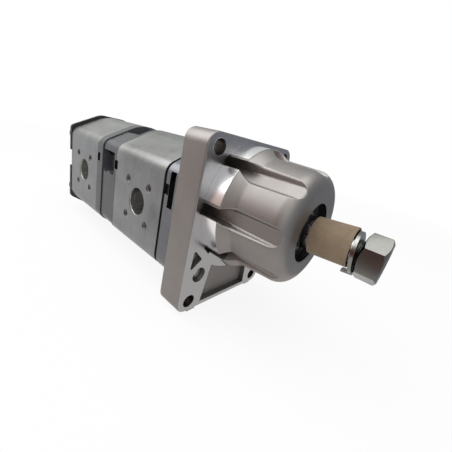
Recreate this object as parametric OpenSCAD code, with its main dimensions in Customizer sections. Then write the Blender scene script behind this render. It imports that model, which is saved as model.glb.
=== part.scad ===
// Tandem external gear pump: a fluted front bearing housing on a rectangular
// flange, two pump stages in line and a connecting flange between them.
// X runs along the drive shaft, out of the flange. Z is up. The origin is on the
// shaft axis, in the flange's mounting face.

/* [Mounting flange] */
// Width of the flange across the pump
flange_w = 90.6; // [88:0.2:100]
// Height of the flange's top edge above the shaft axis
flange_top = 42.4; // [42:0.2:50]
// Depth of the flange's bottom edge below the shaft axis
flange_bottom = 74; // [73:0.5:84]
// Thickness of the flange plate
flange_t = 19.6; // [17:0.2:26]
// Radius of the flange's corners
flange_corner_r = 8; // [3:0.5:9]
// Height of the two lands under the flange that the pump stands on
rest_land_h = 0.6; // [0.4:0.1:1]
// Width of each of those lands
rest_land_w = 7; // [4:0.5:10]
// Distance between the flange's bolt holes across the pump
bolt_dy = 72; // [70:0.5:78]
// Distance between the upper and the lower bolt holes
bolt_dz = 100; // [96:0.5:102]
// Height of the upper bolt holes above the shaft axis
bolt_top = 34.5; // [33:0.5:36]
// Diameter of the flange's bolt holes
bolt_hole_d = 9; // [6:0.1:11]
// Depth of the cast pockets in the flange's face
pocket_depth = 4.5; // [2:0.5:9]
// Width of the ledge below the lower pocket
pocket_ledge = 4.4; // [3:0.2:8]

/* [Front bearing housing] */
// Diameter of the locating spigot
spigot_d = 80; // [78:0.5:84]
// Length of the locating spigot
spigot_len = 12.4; // [9:0.2:16]
// Length of the bearing housing, from the flange's face to its nose
drum_len = 50; // [50:0.5:64]
// Diameter of the housing behind the spigot's shoulder
drum_d = 72; // [70:0.5:76]
// Diameter of the housing where its nose begins to round
drum_nose_d = 69.6; // [68:0.2:74]
// Length of the sloping shoulder in front of the spigot
shoulder_len = 6.6; // [3:0.2:10]
// Radius of the fillet between that shoulder and the barrel
shoulder_fillet = 7; // [2:0.5:10]
// Radius of the rounded nose
nose_r = 9.5; // [6:0.5:12]
// Number of flutes round the housing
flute_count = 8; // [4:1:10]
// Distance of a flute's floor from the shaft axis
flute_floor_r = 32; // [30:0.5:34]
// Width of a flute at its floor
flute_floor_w = 8.4; // [5:0.2:12]
// Width of a flute at the housing's surface
flute_mouth_w = 12; // [9:0.2:16]
// Width of the gap that a flute leaves in the spigot
slot_w = 7.2; // [4:0.2:9]
// Depth of the gap below the flange's face
slot_depth = 8; // [3:0.5:12]
// Length of metal between a flute's end and the nose
flute_end_gap = 3.4; // [2:0.2:8]
// Diameter of the opening in the nose
mouth_d = 36; // [28:0.5:38]
// Thickness of the lip round that opening
lip_t = 6; // [3:0.5:8]

/* [Shaft bearings] */
// Outer diameter of a ball bearing
bearing_d = 42; // [40:0.5:44]
// Bore of a ball bearing, and the shaft's diameter in it
bearing_bore = 20; // [18:0.5:22]
// Width of a ball bearing
bearing_w = 12; // [10:0.5:14]
// Diameter of a ball
ball_d = 6.3; // [5:0.1:7]
// Number of balls in a bearing
ball_count = 9; // [6:1:11]
// Length of the spacer between the two bearings
spacer_len = 18; // [8:0.5:20]

/* [Input shaft] */
// Diameter of the taper's large end
taper_d = 19; // [17:0.1:19.4]
// Length of the taper
taper_len = 25; // [20:0.5:34]
// Length that the taper takes to shrink by one millimetre of diameter
taper_ratio = 5; // [4.5:0.1:8]
// Length of the threaded end
thread_len = 12; // [10:0.5:20]
// Play between the thread and the nut
thread_play = 0.05; // [0.02:0.01:0.1]
// Width of the nut across its flats
nut_af = 22; // [20:0.5:27]
// Thickness of the nut
nut_t = 11; // [8:0.5:14]
// Diameter of the tab washer
washer_d = 26; // [24:0.5:30]
// Thickness of the tab washer
washer_t = 1.8; // [1:0.1:2.2]
// Lean of the loose tab washer, in degrees
washer_lean = 6; // [0:0.5:7]
// Gap between the cardboard sleeve and the tab washer
sleeve_gap = 1.1; // [0.6:0.1:6]
// Thickness of the sleeve's wall
sleeve_wall = 1.2; // [0.8:0.1:2.5]
// Lean of the sleeve, in degrees
sleeve_lean = 4.5; // [0:0.5:5]
// Width of the woodruff key
key_w = 4; // [3:0.5:6]
// Diameter of the woodruff key
key_d = 13; // [10:0.5:16]

/* [Pump bodies] */
// Width of a pump body between its two port faces
body_w = 82.8; // [78:0.2:88]
// Radius of the arc over each gear
body_arc_r = 34.6; // [33:0.2:38]
// Length of the front pump body
front_body_len = 66; // [62:1:84]
// Length of the rear pump body
rear_body_len = 65; // [62:1:84]
// Thickness of the cover between the flange and the front pump body
front_cover_t = 15.1; // [13:0.1:22]
// Thickness of the gasket behind that cover
gasket_t = 2.5; // [1:0.1:4]
// Distance that the gasket lies back from the outline
gasket_inset = 1.2; // [0.4:0.1:2]
// Thickness of the rear cover
rear_cover_t = 12; // [10:0.5:20]
// Thickness of the rear cover's rim
rear_rim_t = 3; // [2.5:0.1:6]
// Distance that the rear cover's raised middle lies back from its rim
rear_step = 5; // [3.5:0.1:7]
// Distance that the rear cover stands out past the bodies
rear_cover_lip = 0.6; // [0.2:0.1:2]
// Distance between the tie bolts across the pump
tie_dy = 62.8; // [62:0.2:64]
// Distance between the upper and the lower tie bolts
tie_dz = 57; // [54:0.5:60]
// Diameter of a tie bolt
tie_d = 10; // [8:0.5:10]
// Radius of the body's corner round a tie bolt
corner_r = 10; // [9:0.2:11]
// Diameter of a dowel pin
dowel_d = 5; // [3:0.5:6]
// Length of a dowel pin
dowel_len = 12; // [8:0.5:14]

/* [Connecting flange] */
// Length of the connecting flange
link_len = 35.4; // [34:0.2:46]
// Thickness of the plate against the rear pump
link_plate_t = 9.6; // [7:0.2:12]
// Thickness of the plate against the front pump
link_front_t = 3.3; // [2.5:0.1:5]
// Height of a side window
window_h = 19; // [10:0.5:20]
// Depth of a side window
window_depth = 9; // [5:0.5:11]
// Depth of the windows over the top
top_window_depth = 8; // [4:0.5:9]
// Width of the rib between the top windows
top_rib_w = 2.6; // [1.5:0.1:5]

/* [Gears] */
// Module of the gears
gear_m = 3; // [2.6:0.05:3.2]
// Teeth on each gear
gear_teeth = 12; // [10:1:13]
// Pressure angle of the teeth
pressure_angle = 28; // [27:0.5:30]
// Face width of the front stage's gears
front_gear_w = 30; // [16:0.5:34]
// Face width of the rear stage's gears
rear_gear_w = 29; // [16:0.5:34]
// Diameter of the gears' journals
journal_d = 18; // [16:0.5:20]
// Thickness of a bearing bush
bush_t = 1; // [0.5:0.1:2]
// Width across flats of the shafts' hexagonal drive ends
drive_af = 13; // [11:0.5:14]

/* [Ports] */
// Distance from the front body's rear face to its ports
front_port_x = 35.4; // [30:0.2:38]
// Distance from the rear body's rear face to its ports
rear_port_x = 34.6; // [30:0.2:38]
// Diameter of the suction ports
suction_d = 20; // [14:0.5:22]
// Bolt circle of the suction ports
suction_pcd = 40; // [38:0.5:44]
// Diameter of the pressure ports
pressure_d = 15; // [10:0.5:18]
// Bolt circle of the pressure ports
pressure_pcd = 35; // [32:0.5:40]
// Diameter of the port bolt holes
port_hole_d = 6; // [4:0.5:8]
// Depth of the port bolt holes
port_hole_depth = 13; // [8:0.5:14]

/* [Hidden] */
$fn = 72;
eps = 0.01;
full_turn = 360;
running_play = 0.03;
seat_play = 0.01;
bore_play = 0.05;
press_play = 0.02;
half_w = body_w / 2;
centre_dist = gear_m * gear_teeth;
pump_mid_z = -centre_dist / 2;

// Stations along the shaft
flange_rear_x = -flange_t;
cover_rear_x = flange_rear_x - front_cover_t;
body1_front_x = cover_rear_x - gasket_t;
body1_rear_x = body1_front_x - front_body_len;
body2_front_x = body1_rear_x - link_len;
body2_rear_x = body2_front_x - rear_body_len;
end_x = body2_rear_x - rear_cover_t;
outer_bearing_x = drum_len - lip_t - bearing_w;
inner_bearing_x = outer_bearing_x - spacer_len - bearing_w;
taper_x = drum_len - 2;
thread_x = taper_x + taper_len;
shaft_end_x = thread_x + thread_len;

// Shaft and taper
journal_r = journal_d / 2;
seat_r = bearing_bore / 2 - seat_play;
taper_r = taper_d / 2;
taper_end_r = taper_r - taper_len / taper_ratio / 2;
thread_r = taper_end_r - 0.1;
collar_r = bearing_bore / 2 + 2.5;
function taper_r_at(x) = taper_r - (x - taper_x) / taper_ratio / 2;

// Shaft retaining rings
ring_t = 1.2;
ring_groove_r = seat_r - 0.5;
ring_r = bearing_bore / 2 + 2.3;
snap_t = 1.75;
snap_groove = 1.25;

// Couplings: a hexagonal socket that joins two shaft ends
couple_wall = 6;
couple_r = drive_af / 2 + couple_wall;
couple_play = 0.05;
couple_gap = 0.6;
couple_half = 9.3;
couple_clear = 0.4;
front_couple_end = inner_bearing_x - snap_t - couple_clear;
front_couple_mid = front_couple_end - couple_half;
front_couple_x = front_couple_mid - couple_half;
link_mid = body1_rear_x - link_len / 2;

// Ball bearings
ball_r = ball_d / 2;
ball_pitch_r = (bearing_d + bearing_bore) / 4;
shoulder = 0.66 * ball_r;
race_play = 0.05;

// Loose parts on the shaft end
washer_x = thread_x + 0.6;
washer_r = washer_d / 2;
nut_x = washer_x + washer_t * cos(washer_lean) + washer_r * sin(washer_lean) + 0.15;
nut_corner_r = nut_af / 2 / cos(30);
nut_turn = 1.7;
sleeve_x = taper_x + 3.6;
sleeve_len = washer_x - sleeve_gap - sleeve_x;
sleeve_bore_r = taper_r + 0.2;
sleeve_lift = 0.1;
tab_w = 5;
tab_len = 4;
tab_t = 1.6;

// Gears and their chambers
pitch_r = centre_dist / 2;
base_r = pitch_r * cos(pressure_angle);
tip_r = pitch_r + gear_m;
root_r = pitch_r - 1.22 * gear_m;
flank_steps = 7;
backlash = 0.35;
side_play = 0.05;
drive_phase = -90;
driven_phase = 90 + 180 / gear_teeth;
chamber_r = tip_r + bore_play;
block_r = chamber_r - bore_play / 2;
bush_r = journal_r + running_play + bush_t;

// Seals
field_r = chamber_r - 4;
field_w = 2.4;
face_seal_t = 1.8;
groove_play = 0.1;
shaft_seal_w = 7;
shaft_seal_gap = 0.5;
shaft_seal_r = journal_r + 6;
lip_play = 0.08;
field_web_t = 4.4;
face_seal_gap = 1.3;

// Journals' and blocks' reliefs
journal_clear = 0.6;
journal_pocket_t = 5;
journal_end_gap = 0.5;
relief_depth = 2;
relief_y = 8.5;
relief_w = 8;
relief_h = 5.2;

// Ports: a bore with a floor, and a smaller passage to the gears
port_chamfer = 0.6;
port_step = 2;
port_floor_y = chamber_r + face_seal_gap;

// Flange casting
flange_half_w = flange_w / 2;
spigot_r = spigot_d / 2;
drum_r = drum_d / 2;
drum_nose_r = drum_nose_d / 2;
shoulder_x = spigot_len + shoulder_len;
nose_x = drum_len - nose_r;
spigot_chamfer = 0.5;
web_wall = 6.5;
web_r = spigot_r + web_wall;
web_gap = 3;
web_foot = [30, -26.8];
recess_over = 1.5;
pocket_crown = 4;
flute_fillet = 1.5;
flute_lip = 1.4;
flute_lip_over = 0.25;
flute_lip_run = 3;
slot_lead = 0.6;
pocket_low_w = 50;
pocket_top_w = 42;
side_pocket = [[39, -39.4, 1], [38.4, -29, 0.8], [32.8, -34.6, 0.8]];
tie_end_d = tie_d + 0.4;
tie_hole_r = tie_d / 2 + 0.5;
tie_head_r = tie_d * 0.8;
tie_head_t = tie_d * 0.8;
tie_washer_t = 1.6;
tie_recess = 8;

// Connecting flange and seams
window_x = body2_front_x + link_plate_t;
window_end_x = body1_rear_x - link_front_t;
window_top_z = 10;
band_inset = 0.8;
tie_wall = 2.5;
seam_notch_w = 5;
seam_notch_h = 7;
seam_notch_t = 3;
seam_notch_z = 1.5;
seam_notch_back = 1.5;
cover_slot_x = 5.4;
cover_slot_end = flange_rear_x - 6;
cover_slot_z = [-10, 13.6];
cover_slot_depth = 6;
cover_corner = 5;
cover_corner_z = 6;
cover_crown = 17;
cover_crown_y = 9;
end_notch_y = half_w + rear_cover_lip;
end_notch_z = -13.2;
end_notch_h = 16.4;
end_notch_t = 3;
dowel_y = 30;
tie_points = [for (y = [-tie_dy / 2, tie_dy / 2], z = [-tie_dz / 2, tie_dz / 2]) [y, pump_mid_z + z]];
gear_points = [[0, 0], [0, -centre_dist]];
seams = [flange_rear_x, (cover_rear_x + body1_front_x) / 2, body1_rear_x, body2_front_x, body2_rear_x];

// Shapes along the shaft

module prism_x(x0, x1) {
    translate([x0, 0, 0])
        rotate([90, 0, 90])
            linear_extrude(x1 - x0)
                children();
}

module rod_x(x0, x1, r, at = [0, 0]) {
    translate([x0, at[0], at[1]])
        rotate([90, 0, 90])
            cylinder(h = x1 - x0, r = r);
}

module cone_x(x0, x1, r0, r1) {
    translate([x0, 0, 0])
        rotate([90, 0, 90])
            cylinder(h = x1 - x0, r1 = r0, r2 = r1);
}

module tube_x(x0, x1, r_out, r_in, at = [0, 0]) {
    difference() {
        rod_x(x0, x1, r_out, at);
        rod_x(x0 - 1, x1 + 1, r_in, at);
    }
}

module hex_x(x0, x1, af, turn = 0) {
    translate([x0, 0, 0])
        rotate([90, 0, 90])
            rotate(turn)
                cylinder(h = x1 - x0, r = af / 2 / cos(30), $fn = 6);
}

module turned_x() {
    rotate([90, 0, 90])
        rotate_extrude()
            children();
}

// Outlines made of round corners joined by tangent lines

function tangent_angle(a, b) =
    atan2(b[1] - a[1], b[0] - a[0]) - acos((a[2] - b[2]) / norm([b[0] - a[0], b[1] - a[1]]));

function on_round(c, a) = [c[0] + c[2] * cos(a), c[1] + c[2] * sin(a)];

// The same outline as points, for small corners
function rounds_points(rounds, steps) =
    let (n = len(rounds))
    [for (i = [0:n - 1])
        let (from = tangent_angle(rounds[(i + n - 1) % n], rounds[i]),
            to = tangent_angle(rounds[i], rounds[(i + 1) % n]),
            turn = (to - from + 2 * full_turn) % full_turn)
        for (k = [0:steps]) on_round(rounds[i], from + turn * k / steps)];

module rounds_outline(rounds) {
    n = len(rounds);
    polygon([for (i = [0:n - 1])
        let (j = (i + 1) % n, a = tangent_angle(rounds[i], rounds[j]))
        each [on_round(rounds[i], a), on_round(rounds[j], a)]]);
    for (c = rounds)
        translate([c[0], c[1]])
            circle(c[2]);
}

function body_rounds(inset = 0) =
    let (y = half_w - corner_r, z = tie_dz / 2)
    [[0, -centre_dist, body_arc_r - inset],
     [y, pump_mid_z - z, corner_r - inset],
     [y, pump_mid_z + z, corner_r - inset],
     [0, 0, body_arc_r - inset],
     [-y, pump_mid_z + z, corner_r - inset],
     [-y, pump_mid_z - z, corner_r - inset]];

module body_outline(inset = 0) {
    rounds_outline(body_rounds(inset));
}

// The rear cover has fuller corners than the bodies
module rear_cover_outline(inset = 0) {
    y = half_w + rear_cover_lip - cover_corner;
    z = tie_dz / 2 + cover_corner_z;
    crown_z = body_arc_r + rear_cover_lip + centre_dist / 2 - cover_crown;
    corner = cover_corner - min(inset, cover_corner - 0.5);
    side = y - max(0, inset - cover_corner + 0.5);
    crown = cover_crown - inset;
    rounds_outline([
        [-cover_crown_y, pump_mid_z - crown_z, crown], [cover_crown_y, pump_mid_z - crown_z, crown],
        [side, pump_mid_z - z, corner], [side, pump_mid_z + z, corner],
        [cover_crown_y, pump_mid_z + crown_z, crown], [-cover_crown_y, pump_mid_z + crown_z, crown],
        [-side, pump_mid_z + z, corner], [-side, pump_mid_z - z, corner]]);
}

module tie_holes(x0, x1) {
    for (p = tie_points)
        rod_x(x0, x1, tie_hole_r, p);
}

module dowel_holes() {
    for (x = seams, side = [-1, 1])
        rod_x(x - dowel_len / 2 - 0.5, x + dowel_len / 2 + 0.5, dowel_d / 2 + press_play,
            [side * dowel_y, pump_mid_z]);
}

// Fluted front bearing housing, cast in one with the mounting flange

// An arc of radius r in the corner b of the path a, b, c
function soft_corner(a, b, c, r, steps) =
    let (u = (a - b) / norm(a - b), v = (c - b) / norm(c - b), half = acos(u * v) / 2,
        mid = b + (u + v) / norm(u + v) * r / sin(half),
        from = b + u * r / tan(half) - mid, to = b + v * r / tan(half) - mid)
    [for (k = [0:steps]) let (p = from * (steps - k) + to * k) mid + p / norm(p) * r];

function drum_profile() =
    concat(
        [[0, -eps], [spigot_r, -eps], [spigot_r, spigot_len - spigot_chamfer],
         [spigot_r - spigot_chamfer, spigot_len]],
        soft_corner([spigot_r - spigot_chamfer, spigot_len], [drum_r, shoulder_x],
            [drum_nose_r, nose_x], shoulder_fillet, 4),
        [for (a = [0:7.5:90]) [drum_nose_r - nose_r + nose_r * cos(a), nose_x + nose_r * sin(a)]],
        [[0, drum_len]]);

// One flute: a channel with sloping sides that parts the spigot and runs out on the
// nose in a rounded end
module flute() {
    end_x = drum_len - flute_end_gap;
    over = spigot_r + 2;
    intersection() {
        prism_x(spigot_len - slot_lead, end_x)
            flute_section(over);
        translate([0, over, 0])
            rotate([90, 0, 0])
                linear_extrude(over)
                    flute_plan(end_x);
    }
    translate([-1, flute_floor_r, -slot_w / 2])
        cube([shoulder_x + 1, over - flute_floor_r, slot_w]);
}

// A filleted floor, sloping sides and lips that roll over onto the barrel
module flute_section(over) {
    foot = [flute_floor_r, flute_floor_w / 2];
    brow = [drum_r + flute_lip_over, flute_mouth_w / 2];
    rim = [brow[0], brow[1] + 2 * flute_lip];
    side = concat(
        soft_corner([foot[0], 0], foot, brow, flute_fillet, 4),
        soft_corner(foot, brow, rim, flute_lip, 4),
        [rim, [over, rim[1]]]);
    polygon(concat(side, [for (i = [len(side) - 1:-1:0]) [side[i][0], -side[i][1]]]));
}

// Where a flute enters the flange's face it leaves a shallow recess
module flute_recess() {
    translate([-slot_depth, flute_floor_r, -slot_w / 2])
        cube([slot_depth + 1, spigot_r + recess_over - flute_floor_r, slot_w]);
}

module flute_plan(end_x) {
    end_r = flute_mouth_w / 2 - 1;
    half = flute_mouth_w / 2;
    wide = half + flute_lip;
    start_x = spigot_len - slot_lead;
    polygon(concat(
        [[start_x, -slot_w / 2], [shoulder_x, -half], [shoulder_x + flute_lip_run, -wide]],
        [for (a = [-90:15:90]) [end_x - end_r + end_r * cos(a), sign(a) * (wide - end_r) + end_r * sin(a)]],
        [[shoulder_x + flute_lip_run, wide], [shoulder_x, half], [start_x, slot_w / 2]]));
}

module pocket_outline() {
    low = -flange_bottom + pocket_ledge;
    top = -web_r * 0.9;
    difference() {
        polygon([[-pocket_low_w / 2, low], [pocket_low_w / 2, low], [pocket_top_w / 2, top],
            [0, top + pocket_crown], [-pocket_top_w / 2, top]]);
        circle(web_r);
    }
}

module relief_outline() {
    difference() {
        polygon([[-web_foot[0], web_foot[1]], [-web_gap, -web_r + 0.2], [-web_gap, -web_r - 1],
            [web_gap, -web_r - 1], [web_gap, -web_r + 0.2], web_foot]);
        circle(spigot_r + recess_over);
    }
}

module side_pocket_outline() {
    polygon(rounds_points(side_pocket, 4));
}

module rest_lands() {
    outer = flange_half_w - flange_corner_r - 2 * rest_land_h;
    for (y = [-outer, outer - rest_land_w])
        prism_x(flange_rear_x, 0)
            translate([y, -flange_bottom])
                square([rest_land_w, 2 * rest_land_h]);
}

module front_housing() {
    half = flange_half_w - flange_corner_r;
    low = flange_corner_r + rest_land_h - flange_bottom;
    color([0.72, 0.71, 0.69])
    difference() {
        union() {
            difference() {
                prism_x(flange_rear_x, 0)
                    rounds_outline([
                        [-half, low, flange_corner_r],
                        [half, low, flange_corner_r],
                        [half, flange_top - flange_corner_r, flange_corner_r],
                        [-half, flange_top - flange_corner_r, flange_corner_r]]);
                at_flutes()
                    flute_recess();
                flange_pockets();
            }
            rest_lands();
            difference() {
                turned_x()
                    polygon(drum_profile());
                at_flutes()
                    flute();
            }
        }
        for (y = [-bolt_dy / 2, bolt_dy / 2], z = [bolt_top, bolt_top - bolt_dz])
            rod_x(flange_rear_x - 1, 1, bolt_hole_d / 2, [y, z]);
        front_tie_holes();
        dowel_holes();
        rod_x(flange_rear_x - 1, drum_len - lip_t, bearing_d / 2);
        rod_x(0, drum_len + 1, mouth_d / 2);
        rod_x(inner_bearing_x - snap_t - 0.1, inner_bearing_x, bearing_d / 2 + snap_groove);
    }
}

module at_flutes() {
    for (i = [0:flute_count - 1])
        rotate([i * 360 / flute_count, 0, 0])
            children();
}

module flange_pockets() {
    prism_x(-pocket_depth, 1)
        pocket_outline();
    prism_x(-slot_depth, 1)
        relief_outline();
    for (side = [0, 1])
        mirror([0, side, 0])
            prism_x(-pocket_depth, 1)
                side_pocket_outline();
}

// The lower tie bolts show through the flange, the upper ones end inside the casting
module front_tie_holes() {
    for (p = tie_points)
        rod_x(flange_rear_x - 1, p[1] < pump_mid_z ? 1 : -slot_depth, tie_end_d / 2, p);
}

// Covers, gasket and bodies

module seam_notches(x) {
    for (side = [-1, 1])
        translate([x - seam_notch_w / 2, side * half_w - seam_notch_t, seam_notch_z - seam_notch_h / 2])
            cube([seam_notch_w, 2 * seam_notch_t, seam_notch_h]);
}

module front_cover() {
    color([0.6, 0.61, 0.63])
    difference() {
        prism_x(cover_rear_x, flange_rear_x)
            body_outline();
        rod_x(cover_rear_x - 1, flange_rear_x + 1, journal_r + journal_clear);
        rod_x(flange_rear_x - shaft_seal_w - journal_clear, flange_rear_x + 1, shaft_seal_r + running_play);
        tie_holes(cover_rear_x - 1, flange_rear_x + 1);
        dowel_holes();
        for (side = [0, 1])
            mirror([0, side, 0])
                translate([cover_slot_end - cover_slot_x, half_w - cover_slot_depth, cover_slot_z[0]])
                    cube([cover_slot_x, cover_slot_depth + 1, cover_slot_z[1] - cover_slot_z[0]]);
        seam_notches(cover_rear_x + seam_notch_w / 2 - seam_notch_back);
    }
}

module front_gasket() {
    color([0.08, 0.08, 0.08])
    difference() {
        prism_x(body1_front_x, cover_rear_x)
            body_outline(gasket_inset);
        for (p = gear_points)
            rod_x(body1_front_x - 1, cover_rear_x + 1, chamber_r, p);
        tie_holes(body1_front_x - 1, cover_rear_x + 1);
        dowel_holes();
        seam_notches((cover_rear_x + body1_front_x) / 2);
    }
}

module square_holes(x, pcd) {
    step = pcd / 2 / sqrt(2);
    for (dx = [-step, step], dz = [-step, step])
        translate([x + dx, 0, pump_mid_z + dz])
            children();
}

// Suction ports are on the -Y face, pressure ports on the +Y face
module ports(x) {
    for (side = [-1, 1]) {
        d = side < 0 ? suction_d : pressure_d;
        pcd = side < 0 ? suction_pcd : pressure_pcd;
        mirror([0, side < 0 ? 1 : 0, 0]) {
            translate([x, 0, pump_mid_z])
                rotate([-90, 0, 0])
                    cylinder(h = half_w, d = d - 2 * port_step);
            translate([x, port_floor_y, pump_mid_z])
                rotate([-90, 0, 0])
                    cylinder(h = half_w - port_floor_y + 1, d = d);
            translate([x, half_w - port_chamfer, pump_mid_z])
                rotate([-90, 0, 0])
                    cylinder(h = port_chamfer + eps, d1 = d, d2 = d + 2 * (port_chamfer + eps));
            square_holes(x, pcd)
                translate([0, half_w - port_hole_depth, 0])
                    rotate([-90, 0, 0])
                        cylinder(h = port_hole_depth + 1, d = port_hole_d);
        }
    }
}

module pump_body(x0, x1, port_x, tone) {
    color(tone)
    difference() {
        prism_x(x0, x1)
            body_outline();
        for (p = gear_points)
            rod_x(x0 - 1, x1 + 1, chamber_r, p);
        tie_holes(x0 - 1, x1 + 1);
        dowel_holes();
        ports(port_x);
        seam_notches(body1_rear_x);
    }
}

module front_pump_body() {
    pump_body(body1_rear_x, body1_front_x, body1_rear_x + front_port_x, [0.6, 0.61, 0.63]);
}

module rear_pump_body() {
    pump_body(body2_rear_x, body2_front_x, body2_rear_x + rear_port_x, [0.6, 0.61, 0.62]);
}

module link_windows() {
    mid_x = (window_x + window_end_x) / 2;
    cut_r = (window_end_x - window_x) / 4;
    low_z = window_top_z - window_h;
    for (side = [0, 1])
        mirror([0, side, 0]) {
            translate([window_x, half_w - window_depth, low_z + cut_r])
                cube([window_end_x - window_x, window_depth + 1, window_h - cut_r]);
            for (x = [window_x + cut_r, window_end_x - cut_r])
                translate([x, half_w - window_depth, low_z + cut_r])
                    rotate([-90, 0, 0])
                        cylinder(h = window_depth + 1, r = cut_r);
            translate([mid_x - cut_r, half_w - window_depth, low_z + cut_r / 3])
                cube([2 * cut_r, window_depth + 1, cut_r]);
            translate([window_x, top_rib_w / 2, body_arc_r - top_window_depth])
                cube([window_end_x - window_x, tie_dy / 2 - tie_hole_r - tie_wall - top_rib_w / 2,
                    top_window_depth + 1]);
        }
}

module connecting_flange() {
    color([0.52, 0.53, 0.56])
    difference() {
        prism_x(body2_front_x, body1_rear_x)
            body_outline();
        difference() {
            prism_x(window_x, window_end_x)
                square([3 * body_w, 3 * body_w], center = true);
            prism_x(window_x - 1, window_end_x + 1)
                body_outline(band_inset);
        }
        link_windows();
        rod_x(body2_front_x - 1, body1_rear_x + 1, couple_r + 1);
        rod_x(body1_rear_x - shaft_seal_w - journal_clear, body1_rear_x + 1, shaft_seal_r + running_play);
        tie_holes(body2_front_x - 1, body1_rear_x + 1);
        dowel_holes();
        seam_notches(body1_rear_x);
        seam_notches(body2_front_x + seam_notch_w / 2);
        prism_x(body1_rear_x - face_seal_t, body1_rear_x + 1)
            face_seal_outline(groove_play);
        prism_x(body2_front_x - 1, body2_front_x + face_seal_t)
            face_seal_outline(groove_play);
    }
}

module rear_cover() {
    color([0.2, 0.2, 0.21])
    difference() {
        union() {
            prism_x(body2_rear_x - rear_rim_t, body2_rear_x)
                rear_cover_outline();
            prism_x(end_x, body2_rear_x - rear_rim_t + eps)
                rear_cover_outline(rear_step);
        }
        tie_holes(end_x - 1, body2_rear_x + 1);
        for (p = tie_points)
            rod_x(end_x - 1, end_x + tie_recess, tie_head_r + 1, p);
        rod_x(body2_rear_x - journal_pocket_t, body2_rear_x + 1, journal_r + journal_clear);
        dowel_holes();
        prism_x(body2_rear_x - face_seal_t, body2_rear_x + 1)
            face_seal_outline(groove_play);
        for (side = [-1, 1])
            translate([end_x - 1, side * end_notch_y - end_notch_t, end_notch_z - end_notch_h / 2])
                cube([rear_cover_t + 2, 2 * end_notch_t, end_notch_h]);
    }
}

// Bearing blocks, bushes and seals of a stage

module twin_outline(r) {
    for (p = gear_points)
        translate(p)
            circle(r);
}

// face is the side that looks at the gears: 1 for +X, -1 for -X
module bearing_block(x0, x1, face) {
    relief_x = face > 0 ? x1 - relief_depth : x0 - 1;
    color([0.78, 0.78, 0.79])
    difference() {
        prism_x(x0, x1)
            twin_outline(block_r);
        for (p = gear_points)
            rod_x(x0 - 1, x1 + 1, bush_r, p);
        for (side = [-1, 1])
            translate([relief_x, side * relief_y - relief_w / 2, pump_mid_z - relief_h / 2])
                cube([relief_depth + 1, relief_w, relief_h]);
        translate([face > 0 ? x0 - 1 : x1 - face_seal_t, 0, 0])
            prism_x(0, face_seal_t + 1)
                field_outline(groove_play);
    }
}

// The pressure field on the back of a block, shaped like a 3
module field_outline(play = 0) {
    open_y = -6;
    intersection() {
        union() {
            difference() {
                twin_outline(field_r + play);
                twin_outline(field_r - field_w - play);
            }
            translate([-field_w / 2 - play, pump_mid_z - field_web_t / 2])
                square([field_w + 2 * play, field_web_t]);
        }
        translate([open_y - play, -2 * centre_dist])
            square([3 * field_r, 3 * centre_dist]);
    }
}

module stage_bushes(x0, x1, gear_w) {
    block = (x1 - x0 - gear_w) / 2;
    color([0.72, 0.5, 0.25])
    for (p = gear_points, x = [x0 + 0.2, x1 - block + side_play])
        tube_x(x, x + block - side_play - 0.2, bush_r - seat_play, journal_r + running_play, p);
}

function block_len(x0, x1, gear_w) = (x1 - x0 - gear_w) / 2 - side_play;

module front_stage_rear_block() {
    bearing_block(body1_rear_x, body1_rear_x + block_len(body1_rear_x, body1_front_x, front_gear_w), 1);
}

module front_stage_front_block() {
    bearing_block(body1_front_x - block_len(body1_rear_x, body1_front_x, front_gear_w), cover_rear_x, -1);
}

module rear_stage_rear_block() {
    bearing_block(body2_rear_x, body2_rear_x + block_len(body2_rear_x, body2_front_x, rear_gear_w), 1);
}

module rear_stage_front_block() {
    bearing_block(body2_front_x - block_len(body2_rear_x, body2_front_x, rear_gear_w), body2_front_x, -1);
}

module front_stage_bushes() {
    stage_bushes(body1_rear_x, body1_front_x, front_gear_w);
}

module rear_stage_bushes() {
    stage_bushes(body2_rear_x, body2_front_x, rear_gear_w);
}

module front_stage_field_seals() {
    color([0.1, 0.1, 0.1]) {
        prism_x(body1_rear_x, body1_rear_x + face_seal_t - seat_play)
            field_outline();
        prism_x(cover_rear_x - face_seal_t + seat_play, cover_rear_x)
            field_outline();
    }
}

module rear_stage_field_seals() {
    color([0.1, 0.1, 0.1]) {
        prism_x(body2_rear_x, body2_rear_x + face_seal_t - seat_play)
            field_outline();
        prism_x(body2_front_x - face_seal_t + seat_play, body2_front_x)
            field_outline();
    }
}

module face_seal_outline(play = 0) {
    inner = chamber_r + face_seal_gap;
    difference() {
        twin_outline(inner + face_seal_t + play);
        twin_outline(inner - play);
    }
}

module body_face_seals() {
    color([0.1, 0.1, 0.1]) {
        prism_x(body1_rear_x - face_seal_t + seat_play, body1_rear_x)
            face_seal_outline();
        prism_x(body2_front_x, body2_front_x + face_seal_t - seat_play)
            face_seal_outline();
        prism_x(body2_rear_x - face_seal_t + seat_play, body2_rear_x)
            face_seal_outline();
    }
}

// A lip seal: a stiff case with a lip that runs on the journal
module lip_seal(x0, x1) {
    lip_r = journal_r + lip_play;
    wall = 1.6;
    turned_x()
        polygon([[lip_r + 1, x0], [shaft_seal_r, x0], [shaft_seal_r, x1], [shaft_seal_r - wall, x1],
            [shaft_seal_r - wall, x0 + wall], [lip_r + 1.8, x0 + wall], [lip_r + 1.8, x1 - wall],
            [lip_r + 0.6, x1 - wall], [lip_r, x1 - 2 * wall]]);
}

module shaft_seal() {
    color([0.12, 0.12, 0.12])
        lip_seal(flange_rear_x - shaft_seal_w - shaft_seal_gap, flange_rear_x - shaft_seal_gap);
}

module connecting_shaft_seal() {
    color([0.12, 0.12, 0.12])
        lip_seal(body1_rear_x - shaft_seal_w - shaft_seal_gap, body1_rear_x - shaft_seal_gap);
}

// Input shaft and what sits on its outer end

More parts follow.
